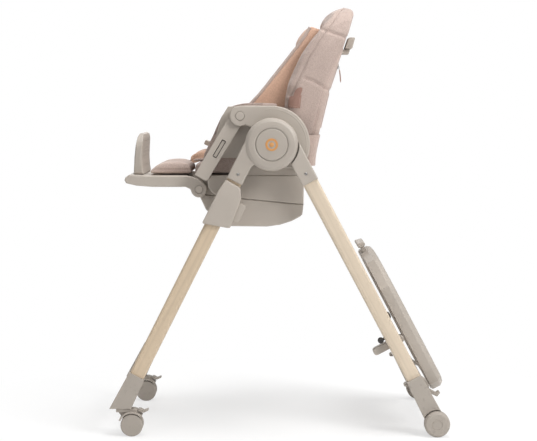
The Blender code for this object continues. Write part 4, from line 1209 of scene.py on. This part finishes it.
def studio():
    """White studio: a soft sky, a floor that fades into it, and four large lamps."""
    world = bpy.data.worlds.new("studio")
    world.use_nodes = True
    tree = world.node_tree
    light = tree.nodes["Background"]
    light.inputs["Color"].default_value = (1.0, 0.99, 0.98, 1.0)
    light.inputs["Strength"].default_value = 0.35
    seen = tree.nodes.new("ShaderNodeBackground")
    seen.inputs["Color"].default_value = (1.0, 1.0, 1.0, 1.0)
    path = tree.nodes.new("ShaderNodeLightPath")
    mix = tree.nodes.new("ShaderNodeMixShader")
    tree.links.new(path.outputs["Is Camera Ray"], mix.inputs[0])
    tree.links.new(light.outputs[0], mix.inputs[1])
    tree.links.new(seen.outputs[0], mix.inputs[2])
    tree.links.new(mix.outputs[0], tree.nodes["World Output"].inputs["Surface"])
    SCENE.world = world

    bm = bmesh.new()
    bmesh.ops.create_circle(bm, cap_ends=True, segments=96, radius=14.0)
    floor = bpy.data.objects.new("floor", mesh_of(bm, "floor"))
    SCENE.collection.objects.link(floor)
    paint = Paint("pale_floor", 0.8)
    paint.shader.inputs["Specular IOR Level"].default_value = 0.0
    paint.colour(paint.ramp(paint.noise(0.6, 2.0), (0.3, (0.93, 0.93, 0.93)), (0.7, (0.95, 0.95, 0.95))))
    split = paint.add("ShaderNodeSeparateXYZ", {"Vector": paint.place})
    reach = paint.maths("SQRT", paint.maths("ADD", paint.maths("POWER", split.outputs[0], 2.0),
                                            paint.maths("POWER", split.outputs[1], 2.0)))
    fade = paint.spread(reach, 0.55, 1.0, 0.35, 0.95)
    glow = paint.add("ShaderNodeEmission", {"Color": (1, 1, 1, 1), "Strength": 1.0})
    seen = paint.add("ShaderNodeLightPath")
    amount = paint.maths("MULTIPLY", fade, seen.outputs["Is Camera Ray"])
    blend = paint.add("ShaderNodeMixShader")
    paint.put(blend.inputs[0], amount)
    paint.put(blend.inputs[1], paint.shader.outputs[0])
    paint.put(blend.inputs[2], glow.outputs[0])
    paint.put(paint.tree.nodes["Material Output"].inputs["Surface"], blend.outputs[0])
    floor.data.materials.append(paint.material)
    middle = (0, 0, 0.55)
    area_light("key", (2.4, 2.4, 2.6), middle, 1.5, 82)
    area_light("fill", (2.9, -2.2, 1.6), middle, 2.4, 10)
    area_light("top", (0.3, 0.3, 3.2), middle, 1.8, 58)
    area_light("far", (-2.6, -0.5, 1.8), middle, 2.0, 18)
    SCENE.view_settings.view_transform = "Standard"


def camera():
    """The camera stands level with the armrests on the chair's left and looks a little down."""
    data = bpy.data.cameras.new("camera")
    data.sensor_width = 36.0
    data.lens = 110.4
    obj = bpy.data.objects.new("camera", data)
    SCENE.collection.objects.link(obj)
    obj.location = (4.2, -0.0266, 0.8039)
    down = radians(4.06)
    obj.rotation_euler = Vector((-cos(down), 0, -sin(down))).to_track_quat("-Z", "Y").to_euler()
    SCENE.camera = obj


def dress_frame():
    dress("front_wood", *both("front_leg"))
    dress("rear_wood", *both("rear_leg"))
    dress("steel", *both("front_leg_screw"), *both("rear_leg_screw"), "leg_rest_rod", "recline_rod")
    dress("hub", *both("hub_ring"), *both("hub_cap"))
    dress("foot", *both("front_foot"), *both("rear_foot"), *both("caster_housing"), *both("brake_pedal"))
    dress("wheel", *both("rear_wheel"), *both("caster_wheels"))
    dress("tray", "tray_base", "tray_insert", "tray_handle", "tray_rack")
    dress("dark", "buckle_button")
    dress("shell", *both("rear_bracket"), "front_crossbar", "seat_base", "seat_bottom_cover",
          *both("seat_side"), *both("slider"), *both("height_lever"), *both("armrest"),
          *both("armrest_button"), "leg_rest", *both("leg_rest_button"), "footplate",
          "backrest_shell", "recline_handle", "harness_buckle")
    soften(0.0030, *both("front_leg"), segments=3)
    soften(0.0080, *both("rear_leg"), segments=4)
    soften(0.0012, *both("seat_side"), *both("slider"), *both("armrest"), "seat_base",
           "seat_bottom_cover", "leg_rest", *both("front_foot"), *both("rear_foot"),
           *both("rear_bracket"))
    soften(0.0008, *both("hub_ring"), *both("hub_cap"), *both("caster_housing"), *both("brake_pedal"),
           *both("height_lever"), *both("armrest_button"), *both("leg_rest_button"), "footplate",
           "recline_handle", "harness_buckle", "buckle_button", "tray_handle", "tray_rack",
           *both("rear_wheel"), *both("caster_wheels"))


dress_frame()
studio()
camera()
back = back_cover()
back_tree = shape_of(back)
seat = seat_cover()
inner_back = insert_back()
inner_seat = insert_seat()
head_pillow()
calf_pad()
seat_bridge()
back_skirt()
back_trim(back_tree)
zip_line(back_tree)
leather_tabs(back_tree)
soft_trim(shape_of(seat), shape_of(inner_back), shape_of(inner_seat))
harness(shape_of(inner_back, back), shape_of(inner_seat, seat))
for label, sign in SIDES:
    hub_details(label, sign)
    armrest_slot_shade(label, sign)
    wheel_details(label, sign)
screw_details()
footplate_ribs()
rack_details()
